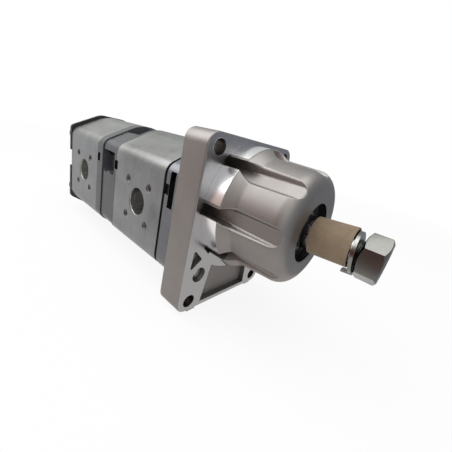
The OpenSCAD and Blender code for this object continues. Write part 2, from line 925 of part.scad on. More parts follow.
module input_shaft() {
    journal_x = front_couple_end + couple_clear / 2;
    chamfer = 0.8;
    color([0.75, 0.75, 0.77])
    difference() {
        union() {
            hex_x(front_couple_mid + couple_gap / 2, journal_x + 0.5, drive_af);
            rod_x(journal_x, taper_x - 1, seat_r);
            rod_x(inner_bearing_x + bearing_w + seat_play, outer_bearing_x - seat_play, collar_r);
            rod_x(taper_x - 1.5, taper_x, taper_r);
            cone_x(taper_x, thread_x, taper_r, taper_end_r);
            rod_x(thread_x - 0.5, shaft_end_x - chamfer, thread_r);
            cone_x(shaft_end_x - chamfer, shaft_end_x, thread_r, thread_r - chamfer);
        }
        for (x = [inner_bearing_x - ring_t - 0.05, outer_bearing_x + bearing_w - 0.02])
            tube_x(x, x + ring_t + 0.07, seat_r + 3, ring_groove_r);
        woodruff(press_play);
    }
}

// A disc of a key, cut off above the shaft
module woodruff(play = 0) {
    x = taper_x + taper_len / 2;
    top = taper_r_at(x) + 1.2;
    low = taper_r_at(x) - 5;
    intersection() {
        translate([x, key_w / 2 + play, low + key_d / 2])
            rotate([90, 0, 0])
                cylinder(h = key_w + 2 * play, d = key_d + 2 * play);
        translate([x - key_d, -key_w, -key_d])
            cube([2 * key_d, 2 * key_w, key_d + top + (play > 0 ? 5 : 0)]);
    }
}

module shaft_key() {
    color([0.45, 0.45, 0.47])
        woodruff();
}

// Kraft cardboard tube that guards the taper in shipping. It lies loose and leans.
module shipping_sleeve() {
    color([0.62, 0.53, 0.4])
    translate([sleeve_x, 0, sleeve_lift])
        rotate([0, -sleeve_lean, 0])
            tube_x(0, sleeve_len, sleeve_bore_r + sleeve_wall, sleeve_bore_r);
}

module tab_washer() {
    color([0.78, 0.78, 0.76])
    translate([washer_x, 0, 0])
        rotate([0, -washer_lean, 0])
            difference() {
                union() {
                    rod_x(0, washer_t, washer_r);
                    translate([-tab_len, -tab_w / 2, -washer_r - tab_t / 2])
                        cube([tab_len + washer_t, tab_w, tab_t]);
                }
                rod_x(-1, washer_t + 1, thread_r + 0.5);
            }
}

module shaft_nut() {
    bevel = nut_corner_r - nut_af / 2 + 0.6;
    rise = bevel * tan(30);
    color([0.8, 0.8, 0.78])
    difference() {
        intersection() {
            hex_x(nut_x, nut_x + nut_t, nut_af, nut_turn);
            turned_x()
                polygon([[0, nut_x], [nut_corner_r - bevel, nut_x], [nut_corner_r + eps, nut_x + rise],
                    [nut_corner_r + eps, nut_x + nut_t - rise], [nut_corner_r - bevel, nut_x + nut_t],
                    [0, nut_x + nut_t]]);
        }
        rod_x(nut_x - 1, nut_x + nut_t + 1, thread_r + thread_play);
        cone_x(nut_x + nut_t - 1, nut_x + nut_t + eps, thread_r, thread_r + 1);
    }
}

// Spring ring with two eyes, its gap at the given angle
module eyed_ring(x, t, r_out, r_in, eye_r, angle) {
    eye = 1.9;
    gap = 3.2;
    cut = 2 * eye;
    prism_x(x, x + t)
        difference() {
            union() {
                difference() {
                    circle(r_out);
                    circle(r_in);
                }
                at_eyes(eye_r, angle)
                    circle(eye, $fn = 12);
            }
            at_eyes(eye_r, angle)
                circle(eye / 2, $fn = 12);
            rotate(angle)
                translate([r_in - cut, -gap / 2])
                    square([r_out - r_in + 2 * cut, gap]);
        }
}

module at_eyes(eye_r, angle) {
    for (side = [-1, 1])
        rotate(angle + side * 18)
            translate([eye_r, 0])
                children();
}

module shaft_rings() {
    clear_r = ring_groove_r + seat_play;
    color([0.3, 0.3, 0.32])
    for (x = [inner_bearing_x - ring_t, outer_bearing_x + bearing_w + seat_play])
        eyed_ring(x, ring_t, ring_r - 0.6, clear_r, ring_r - 0.4, 120);
}

module bearing_snap_ring() {
    x = inner_bearing_x - snap_t - 0.05;
    out_r = bearing_d / 2 + snap_groove - bore_play;
    color([0.3, 0.3, 0.32])
        eyed_ring(x, snap_t, out_r, bearing_d / 2 - 1.6, bearing_d / 2 - 1.9, -90);
}

// Ball bearings

module race_track(x) {
    turned_x()
        translate([ball_pitch_r, x + bearing_w / 2])
            circle(ball_r + race_play);
}

module outer_race(x) {
    color([0.72, 0.73, 0.75])
    difference() {
        tube_x(x, x + bearing_w, bearing_d / 2 - press_play, ball_pitch_r + shoulder);
        race_track(x);
    }
}

module inner_race(x) {
    color([0.72, 0.73, 0.75])
    difference() {
        tube_x(x, x + bearing_w, ball_pitch_r - shoulder, bearing_bore / 2);
        race_track(x);
    }
}

module at_balls(x) {
    for (i = [0:ball_count - 1])
        rotate([i * 360 / ball_count, 0, 0])
            translate([x + bearing_w / 2, ball_pitch_r, 0])
                children();
}

module bearing_balls(x) {
    color([0.8, 0.8, 0.82])
    at_balls(x)
        sphere(ball_r);
}

module bearing_cage(x) {
    rim = 1;
    half = ball_r + rim;
    mid = x + bearing_w / 2;
    color([0.75, 0.6, 0.35])
    difference() {
        tube_x(mid - half, mid + half, ball_pitch_r + 0.9, ball_pitch_r - 0.9);
        at_balls(x)
            rotate([90, 0, 0])
                cylinder(h = 4, r = ball_r + 0.1, center = true);
    }
}

module outer_bearing_outer_race() {
    outer_race(outer_bearing_x);
}

module outer_bearing_inner_race() {
    inner_race(outer_bearing_x);
}

module outer_bearing_balls() {
    bearing_balls(outer_bearing_x);
}

module outer_bearing_cage() {
    bearing_cage(outer_bearing_x);
}

module inner_bearing_outer_race() {
    outer_race(inner_bearing_x);
}

module inner_bearing_inner_race() {
    inner_race(inner_bearing_x);
}

module inner_bearing_balls() {
    bearing_balls(inner_bearing_x);
}

module inner_bearing_cage() {
    bearing_cage(inner_bearing_x);
}

module bearing_shields() {
    shield_t = 0.6;
    color([0.07, 0.07, 0.07])
    for (x = [inner_bearing_x + 0.1, outer_bearing_x + bearing_w - shield_t - 0.1])
        tube_x(x, x + shield_t, ball_pitch_r + shoulder - press_play, ball_pitch_r - shoulder + 0.15);
}

module bearing_spacer() {
    out_r = bearing_d / 2 - press_play;
    color([0.6, 0.6, 0.62])
        tube_x(inner_bearing_x + bearing_w, outer_bearing_x, out_r, out_r - 2.5);
}

// Gears

function involute(r) = let (a = acos(base_r / r)) tan(a) * 180 / PI - a;

function half_tooth(r) = (90 - backlash) / gear_teeth + involute(pitch_r) - involute(max(r, base_r));

function polar(r, a) = [r * cos(a), r * sin(a)];

function flank_r(i) = base_r + (tip_r - base_r) * i / flank_steps;

function tooth_points(a) = concat(
    [polar(root_r, a - half_tooth(base_r))],
    [for (i = [0:flank_steps]) polar(flank_r(i), a - half_tooth(flank_r(i)))],
    [polar(tip_r, a)],
    [for (i = [flank_steps:-1:0]) polar(flank_r(i), a + half_tooth(flank_r(i)))],
    [polar(root_r, a + half_tooth(base_r)), polar(root_r, a + 180 / gear_teeth)]);

// phase is the angle at which one tooth points
module gear_teeth_x(x0, x1, phase, at = [0, 0]) {
    translate([0, at[0], at[1]])
        prism_x(x0, x1)
            polygon([for (i = [0:gear_teeth - 1]) each tooth_points(phase + i * 360 / gear_teeth)]);
}

module stage_gear(x0, x1, gear_w, phase, at) {
    gap = (x1 - x0 - gear_w) / 2 + side_play;
    gear_teeth_x(x0 + gap, x1 - gap, phase, at);
}

module front_drive_gear() {
    nose = front_couple_x - couple_clear;
    tail = link_mid + couple_half + couple_clear;
    color([0.66, 0.67, 0.69])
    union() {
        stage_gear(body1_rear_x, body1_front_x, front_gear_w, drive_phase, gear_points[0]);
        rod_x(tail, nose, journal_r);
        hex_x(link_mid + couple_gap / 2, tail + 0.5, drive_af);
        hex_x(nose - 0.5, front_couple_mid - couple_gap / 2, drive_af);
    }
}

module rear_drive_gear() {
    nose = link_mid - couple_half - couple_clear;
    color([0.66, 0.67, 0.69])
    union() {
        stage_gear(body2_rear_x, body2_front_x, rear_gear_w, drive_phase, gear_points[0]);
        rod_x(body2_rear_x + journal_end_gap, nose, journal_r);
        hex_x(nose - 0.5, link_mid - couple_gap / 2, drive_af);
    }
}

module driven_gear(x0, x1, gear_w) {
    color([0.66, 0.67, 0.69])
    union() {
        stage_gear(x0, x1, gear_w, driven_phase, gear_points[1]);
        rod_x(x0 + journal_end_gap, x1 - journal_end_gap, journal_r, gear_points[1]);
    }
}

module front_driven_gear() {
    driven_gear(body1_rear_x, body1_front_x, front_gear_w);
}

module rear_driven_gear() {
    driven_gear(body2_rear_x, body2_front_x, rear_gear_w);
}

module coupling(x0, x1) {
    color([0.5, 0.5, 0.52])
    difference() {
        rod_x(x0, x1, couple_r);
        hex_x(x0 - 1, x1 + 1, drive_af + 2 * couple_play);
    }
}

module front_coupling() {
    coupling(front_couple_x, front_couple_end);
}

module rear_coupling() {
    coupling(link_mid - couple_half, link_mid + couple_half);
}

// Fasteners

module tie_bolts() {
    seat_x = end_x + tie_recess - tie_washer_t;
    socket_af = 0.8 * tie_d;
    end_gap = 3.5;
    chamfer = 1;
    color([0.55, 0.55, 0.57])
    for (p = tie_points) {
        tip_x = p[1] < pump_mid_z ? -end_gap : -slot_depth - 0.5;
        translate([0, p[0], p[1]])
            difference() {
                union() {
                    rod_x(seat_x - tie_head_t, seat_x, tie_head_r);
                    rod_x(seat_x - 1, tip_x - chamfer, tie_d / 2);
                    cone_x(tip_x - chamfer, tip_x, tie_d / 2, tie_d / 2 - chamfer);
                }
                hex_x(seat_x - tie_head_t - 1, seat_x - tie_head_t / 2, socket_af);
            }
    }
}

module tie_washers() {
    x = end_x + tie_recess;
    color([0.7, 0.7, 0.68])
    for (p = tie_points)
        tube_x(x - tie_washer_t, x, tie_head_r + 0.6, tie_d / 2 + 0.3, p);
}

module dowel_pins() {
    color([0.6, 0.6, 0.62])
    for (x = seams, side = [-1, 1])
        rod_x(x - dowel_len / 2, x + dowel_len / 2, dowel_d / 2, [side * dowel_y, pump_mid_z]);
}

front_housing();
front_cover();
front_gasket();
front_pump_body();
connecting_flange();
rear_pump_body();
rear_cover();
front_stage_front_block();
front_stage_rear_block();
rear_stage_front_block();
rear_stage_rear_block();
front_stage_bushes();
rear_stage_bushes();
front_stage_field_seals();
rear_stage_field_seals();
body_face_seals();
shaft_seal();
connecting_shaft_seal();
input_shaft();
shaft_key();
shipping_sleeve();
tab_washer();
shaft_nut();
shaft_rings();
front_coupling();
front_drive_gear();
rear_coupling();
rear_drive_gear();
front_driven_gear();
rear_driven_gear();
outer_bearing_outer_race();
outer_bearing_inner_race();
outer_bearing_balls();
outer_bearing_cage();
inner_bearing_outer_race();
inner_bearing_inner_race();
inner_bearing_balls();
inner_bearing_cage();
bearing_shields();
bearing_spacer();
bearing_snap_ring();
tie_bolts();
tie_washers();
dowel_pins();
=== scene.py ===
import bpy
import bmesh
import math
from mathutils import Matrix, Vector


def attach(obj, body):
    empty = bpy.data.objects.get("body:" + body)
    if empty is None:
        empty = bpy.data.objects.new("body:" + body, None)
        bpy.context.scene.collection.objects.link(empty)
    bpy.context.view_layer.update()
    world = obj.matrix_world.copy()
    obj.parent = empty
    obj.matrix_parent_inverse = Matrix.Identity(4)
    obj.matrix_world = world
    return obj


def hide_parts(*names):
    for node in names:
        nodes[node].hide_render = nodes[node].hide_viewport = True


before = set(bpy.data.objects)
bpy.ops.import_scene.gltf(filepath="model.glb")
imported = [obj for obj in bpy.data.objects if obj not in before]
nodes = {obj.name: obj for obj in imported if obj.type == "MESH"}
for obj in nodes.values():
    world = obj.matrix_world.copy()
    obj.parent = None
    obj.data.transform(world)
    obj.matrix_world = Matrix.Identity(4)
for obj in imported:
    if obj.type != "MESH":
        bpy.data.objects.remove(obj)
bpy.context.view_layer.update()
scene = bpy.context.scene
print("stage: frame loaded,", len(nodes), "solids")


# short ways to add nodes

def plug(tree, value, socket):
    if isinstance(value, (int, float, tuple, Vector)):
        socket.default_value = value
    elif value is not None:
        tree.links.new(value, socket)


def mathNode(tree, operation, *values):
    node = tree.nodes.new("ShaderNodeMath")
    node.operation = operation
    for value, socket in zip(values, node.inputs):
        plug(tree, value, socket)
    return node.outputs[0]


def vectorNode(tree, operation, *values):
    node = tree.nodes.new("ShaderNodeVectorMath")
    node.operation = operation
    for value, socket in zip(values, node.inputs):
        plug(tree, value, socket)
    return node.outputs["Value" if operation in ("DOT_PRODUCT", "LENGTH") else "Vector"]


def mapNode(tree, value, spans):
    # spans: from low, from high, to low, to high
    node = tree.nodes.new("ShaderNodeMapRange")
    for span, socket in zip(spans, node.inputs[1:5]):
        socket.default_value = span
    tree.links.new(value, node.inputs[0])
    return node.outputs[0]


def noiseNode(tree, vector, scale, detail=3.0, rough=0.55):
    node = tree.nodes.new("ShaderNodeTexNoise")
    node.inputs["Detail"].default_value = detail
    node.inputs["Roughness"].default_value = rough
    tree.links.new(vector, node.inputs["Vector"])
    plug(tree, scale, node.inputs["Scale"])
    return node.outputs[0]


def mixColour(tree, factor, a, b, blend="MIX"):
    node = tree.nodes.new("ShaderNodeMix")
    node.data_type = "RGBA"
    node.blend_type = blend
    for value, socket in ((factor, node.inputs[0]), (a, node.inputs[6]), (b, node.inputs[7])):
        plug(tree, value, socket)
    return node.outputs[2]


def mixShader(tree, share, a, b):
    node = tree.nodes.new("ShaderNodeMixShader")
    for value, socket in zip((share, a, b), node.inputs):
        tree.links.new(value, socket)
    return node.outputs[0]


# camera, floor and light

camera = {
    "place": (0.09193, -0.13469, 0.03747),
    "turn": (1.23608, -0.21989, 0.73136),
    "lens": 19.156, "sensor": 36.0,
    "clip": (0.005, 50.0),
}

studio = {
    "rearFoot": (-0.2066, -0.0714),      # x and z where the rear cover stands
    "frontFoot": (-0.0196, -0.0742),     # and where the flange stands
    "floorColour": (0.86, 0.86, 0.86, 1),
    "floorWhite": (0.89, 1.0),           # share of white that the camera sees, near and far
    "floorFade": (0.25, 1.3),            # distances between which that share grows
    "floorReach": 4.0,
    "softLight": 0.38,
    "skyColour": (0.97, 0.98, 1.0, 1),
    "lamps": [
        # name, place, aim, size, watts
        ("keyBox", (-0.55, -0.45, 0.75), (-0.04, 0.0, 0.0), 1.1, 6.5),
        ("topBox", (0.15, -0.05, 0.9), (-0.02, 0.0, 0.0), 0.9, 4.2),
        ("frontBox", (0.62, -0.6, 0.48), (0.02, 0.0, 0.0), 0.8, 1.0),
    ],
    "brightSide": (-0.55, -0.65, 0.5),   # where the room is brightest to a shiny surface
    "roomTones": [                       # from the far side of the room to the bright side
        (0.0, (0.32, 0.34, 0.38, 1)), (0.4, (0.4, 0.41, 0.43, 1)), (0.7, (0.6, 0.62, 0.6, 1)),
        (0.84, (0.9, 0.91, 0.9, 1)), (0.93, (1, 1, 1, 1)),
    ],
    "standSide": (-0.15, -1.0, -0.05),   # where the photographer stands, dark and brown
    "standTones": [
        (0.84, (1, 1, 1, 1)), (0.92, (0.52, 0.39, 0.35, 1)), (0.965, (0.22, 0.08, 0.06, 1)),
    ],
    # shiny surfaces see a pale sheet under the pump, longer along the pump than across it,
    # and beyond its reach the tones of the room
    "sheetCentre": (-0.2, -0.08, -0.07),
    "sheetSquash": (0.45, 1.0, 0.0),
    "sheetReach": (0.185, 0.225),
    "sheetColour": (0.88, 0.85, 0.83, 1),
}


def addCamera():
    data = bpy.data.cameras.new("photoCamera")
    data.lens = camera["lens"]
    data.sensor_width = camera["sensor"]
    data.clip_start, data.clip_end = camera["clip"]
    obj = bpy.data.objects.new("photoCamera", data)
    obj.location = camera["place"]
    obj.rotation_euler = camera["turn"]
    scene.collection.objects.link(obj)
    scene.camera = obj


def addLamps():
    for name, place, aim, size, watts in studio["lamps"]:
        data = bpy.data.lights.new(name, "AREA")
        data.shape = "DISK"
        data.size = size
        data.energy = watts
        obj = bpy.data.objects.new(name, data)
        obj.location = place
        obj.rotation_euler = (Vector(aim) - Vector(place)).to_track_quat("-Z", "Y").to_euler()
        scene.collection.objects.link(obj)


def directionRamp(tree, direction, towards, tones):
    dot = vectorNode(tree, "DOT_PRODUCT", direction, Vector(towards).normalized())
    ramp = tree.nodes.new("ShaderNodeValToRGB")
    while len(ramp.color_ramp.elements) < len(tones):
        ramp.color_ramp.elements.new(0.5)
    for element, (position, colour) in zip(ramp.color_ramp.elements, tones):
        element.position = position
        element.color = colour
    tree.links.new(mathNode(tree, "MULTIPLY_ADD", dot, 0.5, 0.5), ramp.inputs[0])
    return ramp.outputs["Color"]


def roomColour(tree, direction):
    # the room is a pale one with a bright side, and dimmer where the photographer stands
    room = directionRamp(tree, direction, studio["brightSide"], studio["roomTones"])
    stand = directionRamp(tree, direction, studio["standSide"], studio["standTones"])
    return mixColour(tree, 1.0, room, stand, "MULTIPLY")


def addWorld():
    world = bpy.data.worlds.new("paleRoom")
    scene.world = world
    world.use_nodes = True
    tree = world.node_tree
    tree.nodes.clear()
    path = tree.nodes.new("ShaderNodeLightPath")
    coord = tree.nodes.new("ShaderNodeTexCoord")
    soft = tree.nodes.new("ShaderNodeBackground")
    soft.inputs["Color"].default_value = studio["skyColour"]
    soft.inputs["Strength"].default_value = studio["softLight"]
    gloss = tree.nodes.new("ShaderNodeBackground")
    tree.links.new(roomColour(tree, coord.outputs["Generated"]), gloss.inputs["Color"])
    white = tree.nodes.new("ShaderNodeBackground")
    white.inputs["Color"].default_value = (1, 1, 1, 1)
    lit = mixShader(tree, path.outputs["Is Glossy Ray"], soft.outputs[0], gloss.outputs[0])
    straight = mathNode(tree, "MAXIMUM", path.outputs["Is Camera Ray"],
                        path.outputs["Is Transmission Ray"])
    out = tree.nodes.new("ShaderNodeOutputWorld")
    tree.links.new(mixShader(tree, straight, lit, white.outputs[0]), out.inputs[0])


def floorColours(tree, path, place):
    # white to the camera; to shiny surfaces the pale sheet near the pump, then the room
    aside = vectorNode(tree, "SUBTRACT", place, studio["sheetCentre"])
    reach = vectorNode(tree, "LENGTH", vectorNode(tree, "MULTIPLY", aside, studio["sheetSquash"]))
    beyond = mapNode(tree, reach, studio["sheetReach"] + (0.0, 1.0))
    room = roomColour(tree, vectorNode(tree, "NORMALIZE", place))
    sheet = mixColour(tree, beyond, studio["sheetColour"], room)
    return mixColour(tree, path.outputs["Is Glossy Ray"], (1, 1, 1, 1), sheet)


def addFloor():
    # the pump stands on its flange and its rear cover, so the floor slopes a little under it
    (x0, z0), (x1, z1) = studio["rearFoot"], studio["frontFoot"]
    slope = (z1 - z0) / (x1 - x0)
    far = studio["floorReach"]
    mesh = bpy.data.meshes.new("paleFloor")
    ends = ((-far, -far), (far, -far), (far, far), (-far, far))
    mesh.from_pydata([(x, y, z0 + slope * (x - x0)) for x, y in ends], [], [(0, 1, 2, 3)])
    obj = bpy.data.objects.new("paleFloor", mesh)
    scene.collection.objects.link(obj)
    mat = bpy.data.materials.new("paleFloor")
    mat.use_nodes = True
    tree = mat.node_tree
    tree.nodes.clear()
    diffuse = tree.nodes.new("ShaderNodeBsdfDiffuse")
    diffuse.inputs["Color"].default_value = studio["floorColour"]
    white = tree.nodes.new("ShaderNodeEmission")
    path = tree.nodes.new("ShaderNodeLightPath")
    place = tree.nodes.new("ShaderNodeTexCoord").outputs["Object"]
    tree.links.new(floorColours(tree, path, place), white.inputs["Color"])
    seen = mathNode(tree, "MAXIMUM", path.outputs["Is Camera Ray"], path.outputs["Is Glossy Ray"])
    seen = mathNode(tree, "MAXIMUM", seen, path.outputs["Is Transmission Ray"])
    reach = vectorNode(tree, "LENGTH", place)
    fade = mapNode(tree, reach, studio["floorFade"] + studio["floorWhite"])
    share = mathNode(tree, "MULTIPLY", seen, fade)
    out = tree.nodes.new("ShaderNodeOutputMaterial")
    tree.links.new(mixShader(tree, share, diffuse.outputs[0], white.outputs[0]), out.inputs[0])
    mesh.materials.append(mat)


scene.view_settings.view_transform = "Standard"
addCamera()
addLamps()
addWorld()
addFloor()
print("stage: studio ready")


# effects that several finishes share

def newGroup(name, sockets, outputs):
    group = bpy.data.node_groups.new(name, "ShaderNodeTree")
    for label, kind, value in sockets:
        socket = group.interface.new_socket(name=label, in_out="INPUT", socket_type=kind)
        socket.default_value = value
    for label, kind in outputs:
        group.interface.new_socket(name=label, in_out="OUTPUT", socket_type=kind)
    enter = group.nodes.new("NodeGroupInput")
    leave = group.nodes.new("NodeGroupOutput")
    return group, enter, leave


def spreadRough(group, enter, pattern):
    # the finish's roughness, more or less of it where the pattern is high or low
    spread, usual = enter.outputs["Spread"], enter.outputs["Roughness"]
    aside = mathNode(group, "SUBTRACT", pattern, 0.5)
    return mathNode(group, "MULTIPLY_ADD", aside, spread, usual)


def blendOf(group, a, shareA, b, shareB):
    first = mathNode(group, "MULTIPLY", a, shareA)
    return mathNode(group, "ADD", first, mathNode(group, "MULTIPLY", b, shareB))


def tintColour(group, enter, leave, shade):
    tinted = mixColour(group, 1.0, enter.outputs["Colour"], shade, "MULTIPLY")
    group.links.new(tinted, leave.inputs["Colour"])


looks = [
    ("Colour", "NodeSocketColor"), ("Roughness", "NodeSocketFloat"), ("Height", "NodeSocketFloat"),
]


def buildGrain():
    # blasted or sand-cast skin: fine pits, and slow changes of tone
    group, enter, leave = newGroup("castSkin", [
        ("Colour", "NodeSocketColor", (0.4, 0.4, 0.4, 1)),
        ("Stain", "NodeSocketColor", (0.3, 0.28, 0.26, 1)),
        ("Stain Share", "NodeSocketFloat", 0.3),
        ("Grain", "NodeSocketFloat", 1500.0),
        ("Roughness", "NodeSocketFloat", 0.4),
        ("Spread", "NodeSocketFloat", 0.15),
    ], looks)
    coord = group.nodes.new("ShaderNodeTexCoord").outputs["Object"]
    fine = noiseNode(group, coord, enter.outputs["Grain"], 2.0)
    cloud = noiseNode(group, coord, 55.0, 4.0, 0.6)
    soft = mathNode(group, "SMOOTH_MIN", cloud, 1.0, 0.2)
    blotch = mathNode(group, "MULTIPLY", soft, enter.outputs["Stain Share"])
    tone = mixColour(group, blotch, enter.outputs["Colour"], enter.outputs["Stain"])
    speck = mathNode(group, "MULTIPLY_ADD", fine, 0.24, 0.88)
    both = mixColour(group, 1.0, tone, speck, "MULTIPLY")
    group.links.new(both, leave.inputs["Colour"])
    group.links.new(spreadRough(group, enter, cloud), leave.inputs["Roughness"])
    group.links.new(fine, leave.inputs["Height"])
    return group


def buildLines():
    # drawn, milled or brushed lines along one axis: Stretch is the scale along X, Y and Z
    group, enter, leave = newGroup("drawnLines", [
        ("Colour", "NodeSocketColor", (0.4, 0.4, 0.4, 1)),
        ("Stretch", "NodeSocketVector", (20.0, 2500.0, 2500.0)),
        ("Depth", "NodeSocketFloat", 0.15),
        ("Roughness", "NodeSocketFloat", 0.3),
        ("Spread", "NodeSocketFloat", 0.2),
    ], looks)
    coord = group.nodes.new("ShaderNodeTexCoord").outputs["Object"]
    drawn = vectorNode(group, "MULTIPLY", coord, enter.outputs["Stretch"])
    line = noiseNode(group, drawn, 1.0, 3.0, 0.6)
    cloud = noiseNode(group, coord, 38.0, 4.0, 0.6)
    aside = mathNode(group, "SUBTRACT", line, 0.5)
    shade = mathNode(group, "MULTIPLY_ADD", aside, enter.outputs["Depth"], 1.0)
    slow = mathNode(group, "MULTIPLY", mathNode(group, "SUBTRACT", cloud, 0.5), 1.8)
    shade = mathNode(group, "MULTIPLY_ADD", slow, enter.outputs["Depth"], shade)
    tintColour(group, enter, leave, shade)
    both = blendOf(group, line, 0.6, cloud, 0.4)
    group.links.new(spreadRough(group, enter, both), leave.inputs["Roughness"])
    group.links.new(line, leave.inputs["Height"])
    return group


def buildLathe():
    # turned lay: rings about the shaft axis on faces, bands along it on cylinders
    group, enter, leave = newGroup("turnedLay", [
        ("Colour", "NodeSocketColor", (0.6, 0.6, 0.6, 1)),
        ("Feed", "NodeSocketFloat", 2200.0),
        ("Axis Height", "NodeSocketFloat", 0.0),
        ("Roughness", "NodeSocketFloat", 0.2),
        ("Spread", "NodeSocketFloat", 0.12),
    ], looks)
    coord = group.nodes.new("ShaderNodeTexCoord").outputs["Object"]
    split = group.nodes.new("ShaderNodeSeparateXYZ")
    group.links.new(coord, split.inputs[0])
    z = mathNode(group, "SUBTRACT", split.outputs[2], enter.outputs["Axis Height"])
    radius = mathNode(group, "SQRT", blendOf(group, split.outputs[1], split.outputs[1], z, z))
    feed = enter.outputs["Feed"]
    along = blendOf(group, radius, feed, split.outputs[0], mathNode(group, "MULTIPLY", feed, 0.93))
    pair = group.nodes.new("ShaderNodeCombineXYZ")
    group.links.new(along, pair.inputs[0])
    lay = noiseNode(group, pair.outputs[0], 1.0, 4.0, 0.7)
    cloud = noiseNode(group, coord, 60.0, 3.0)
    shade = mathNode(group, "MULTIPLY_ADD", lay, 0.2, 0.9)
    tintColour(group, enter, leave, shade)
    both = blendOf(group, lay, 0.55, cloud, 0.45)
    group.links.new(spreadRough(group, enter, both), leave.inputs["Roughness"])
    group.links.new(lay, leave.inputs["Height"])
    return group


def buildFibre():
    # wound kraft board: fibres round the tube, and the edge of the spiral wrap
    group, enter, leave = newGroup("kraftFibre", [
        ("Colour", "NodeSocketColor", (0.4, 0.3, 0.2, 1)),
        ("Dark", "NodeSocketColor", (0.28, 0.2, 0.13, 1)),
        ("Wrap Pitch", "NodeSocketFloat", 0.03),
    ], looks)
    coord = group.nodes.new("ShaderNodeTexCoord").outputs["Object"]
    wound = vectorNode(group, "MULTIPLY", coord, (2600.0, 420.0, 420.0))
    fibre = noiseNode(group, wound, 1.0, 4.0, 0.7)
    mottle = noiseNode(group, coord, 260.0, 4.0, 0.6)
    split = group.nodes.new("ShaderNodeSeparateXYZ")
    group.links.new(coord, split.inputs[0])
    angle = mathNode(group, "ARCTAN2", split.outputs[2], split.outputs[1])
    turn = mathNode(group, "DIVIDE", angle, 2 * math.pi)
    along = mathNode(group, "DIVIDE", split.outputs[0], enter.outputs["Wrap Pitch"])
    wrap = mathNode(group, "FRACT", mathNode(group, "ADD", along, turn))
    seam = mathNode(group, "LESS_THAN", wrap, 0.012)
    dark = enter.outputs["Dark"]
    tone = mixColour(group, blendOf(group, fibre, 0.45, mottle, 0.5), enter.outputs["Colour"], dark)
    toneSeam = mixColour(group, mathNode(group, "MULTIPLY", seam, 0.3), tone, dark)
    group.links.new(toneSeam, leave.inputs["Colour"])
    group.links.new(mathNode(group, "MULTIPLY_ADD", fibre, 0.15, 0.72), leave.inputs["Roughness"])
    group.links.new(mathNode(group, "SUBTRACT", fibre, seam), leave.inputs["Height"])
    return group


def buildThread():
    # a helix about an axis along X, or straight grooves along Y in a tapped hole
    group, enter, leave = newGroup("threadLines", [
        ("Pitch", "NodeSocketFloat", 0.0015),
        ("Along Y", "NodeSocketFloat", 0.0),
    ], [("Height", "NodeSocketFloat")])
    coord = group.nodes.new("ShaderNodeTexCoord").outputs["Object"]
    split = group.nodes.new("ShaderNodeSeparateXYZ")
    group.links.new(coord, split.inputs[0])
    angle = mathNode(group, "ARCTAN2", split.outputs[2], split.outputs[1])
    along = mathNode(group, "DIVIDE", split.outputs[0], enter.outputs["Pitch"])
    turnX = mathNode(group, "ADD", along, mathNode(group, "DIVIDE", angle, 2 * math.pi))
    turnY = mathNode(group, "DIVIDE", split.outputs[1], enter.outputs["Pitch"])
    alongY = enter.outputs["Along Y"]
    turn = blendOf(group, turnX, mathNode(group, "SUBTRACT", 1.0, alongY), turnY, alongY)
    part = mathNode(group, "FRACT", turn)
    wave = mathNode(group, "ABSOLUTE", mathNode(group, "SUBTRACT", part, 0.5))
    group.links.new(mathNode(group, "MULTIPLY", wave, 2.0), leave.inputs["Height"])
    return group


grainGroup = buildGrain()
linesGroup = buildLines()
latheGroup = buildLathe()
fibreGroup = buildFibre()
threadGroup = buildThread()
print("stage: shared effects built")


# finishes

def finish(name, group, values, bump, bumpDistance, metallic=1.0, sheen=0.0, thread=None):
    mat = bpy.data.materials.new(name)
    mat.use_nodes = True
    tree = mat.node_tree
    shader = tree.nodes["Principled BSDF"]
    shader.inputs["Metallic"].default_value = metallic
    shader.inputs["Sheen Weight"].default_value = sheen
    effect = tree.nodes.new("ShaderNodeGroup")
    effect.node_tree = group
    for label, value in values.items():
        effect.inputs[label].default_value = value
    tree.links.new(effect.outputs["Colour"], shader.inputs["Base Color"])
    tree.links.new(effect.outputs["Roughness"], shader.inputs["Roughness"])
    height = effect.outputs["Height"]
    if thread:
        groove = tree.nodes.new("ShaderNodeGroup")
        groove.node_tree = threadGroup
        groove.inputs["Pitch"].default_value = thread["pitch"]
        groove.inputs["Along Y"].default_value = thread["alongY"]
        height = mathNode(tree, "MULTIPLY_ADD", groove.outputs["Height"], thread["depth"], height)
    bumpNode = tree.nodes.new("ShaderNodeBump")
    bumpNode.inputs["Strength"].default_value = bump
    bumpNode.inputs["Distance"].default_value = bumpDistance
    tree.links.new(height, bumpNode.inputs["Height"])
    tree.links.new(bumpNode.outputs[0], shader.inputs["Normal"])
    return mat


castWarm = finish("castWarm", grainGroup, {
    "Colour": (0.31, 0.295, 0.285, 1), "Stain": (0.21, 0.19, 0.18, 1), "Stain Share": 0.5,
    "Grain": 2800.0, "Roughness": 0.48, "Spread": 0.16}, 0.2, 0.00007)
castPocket = finish("castPocket", grainGroup, {
    "Colour": (0.27, 0.245, 0.235, 1), "Stain": (0.17, 0.145, 0.137, 1), "Stain Share": 0.7,
    "Grain": 1400.0, "Roughness": 0.5, "Spread": 0.2}, 0.4, 0.00014, metallic=0.2)
machinedFace = finish("machinedFace", latheGroup, {
    "Colour": (0.385, 0.383, 0.39, 1), "Feed": 2600.0, "Roughness": 0.26, "Spread": 0.18},
    0.12, 0.00005)
spigotTurned = finish("spigotTurned", latheGroup, {
    "Colour": (0.92, 0.91, 0.92, 1), "Feed": 3200.0, "Roughness": 0.26, "Spread": 0.12},
    0.1, 0.00004)
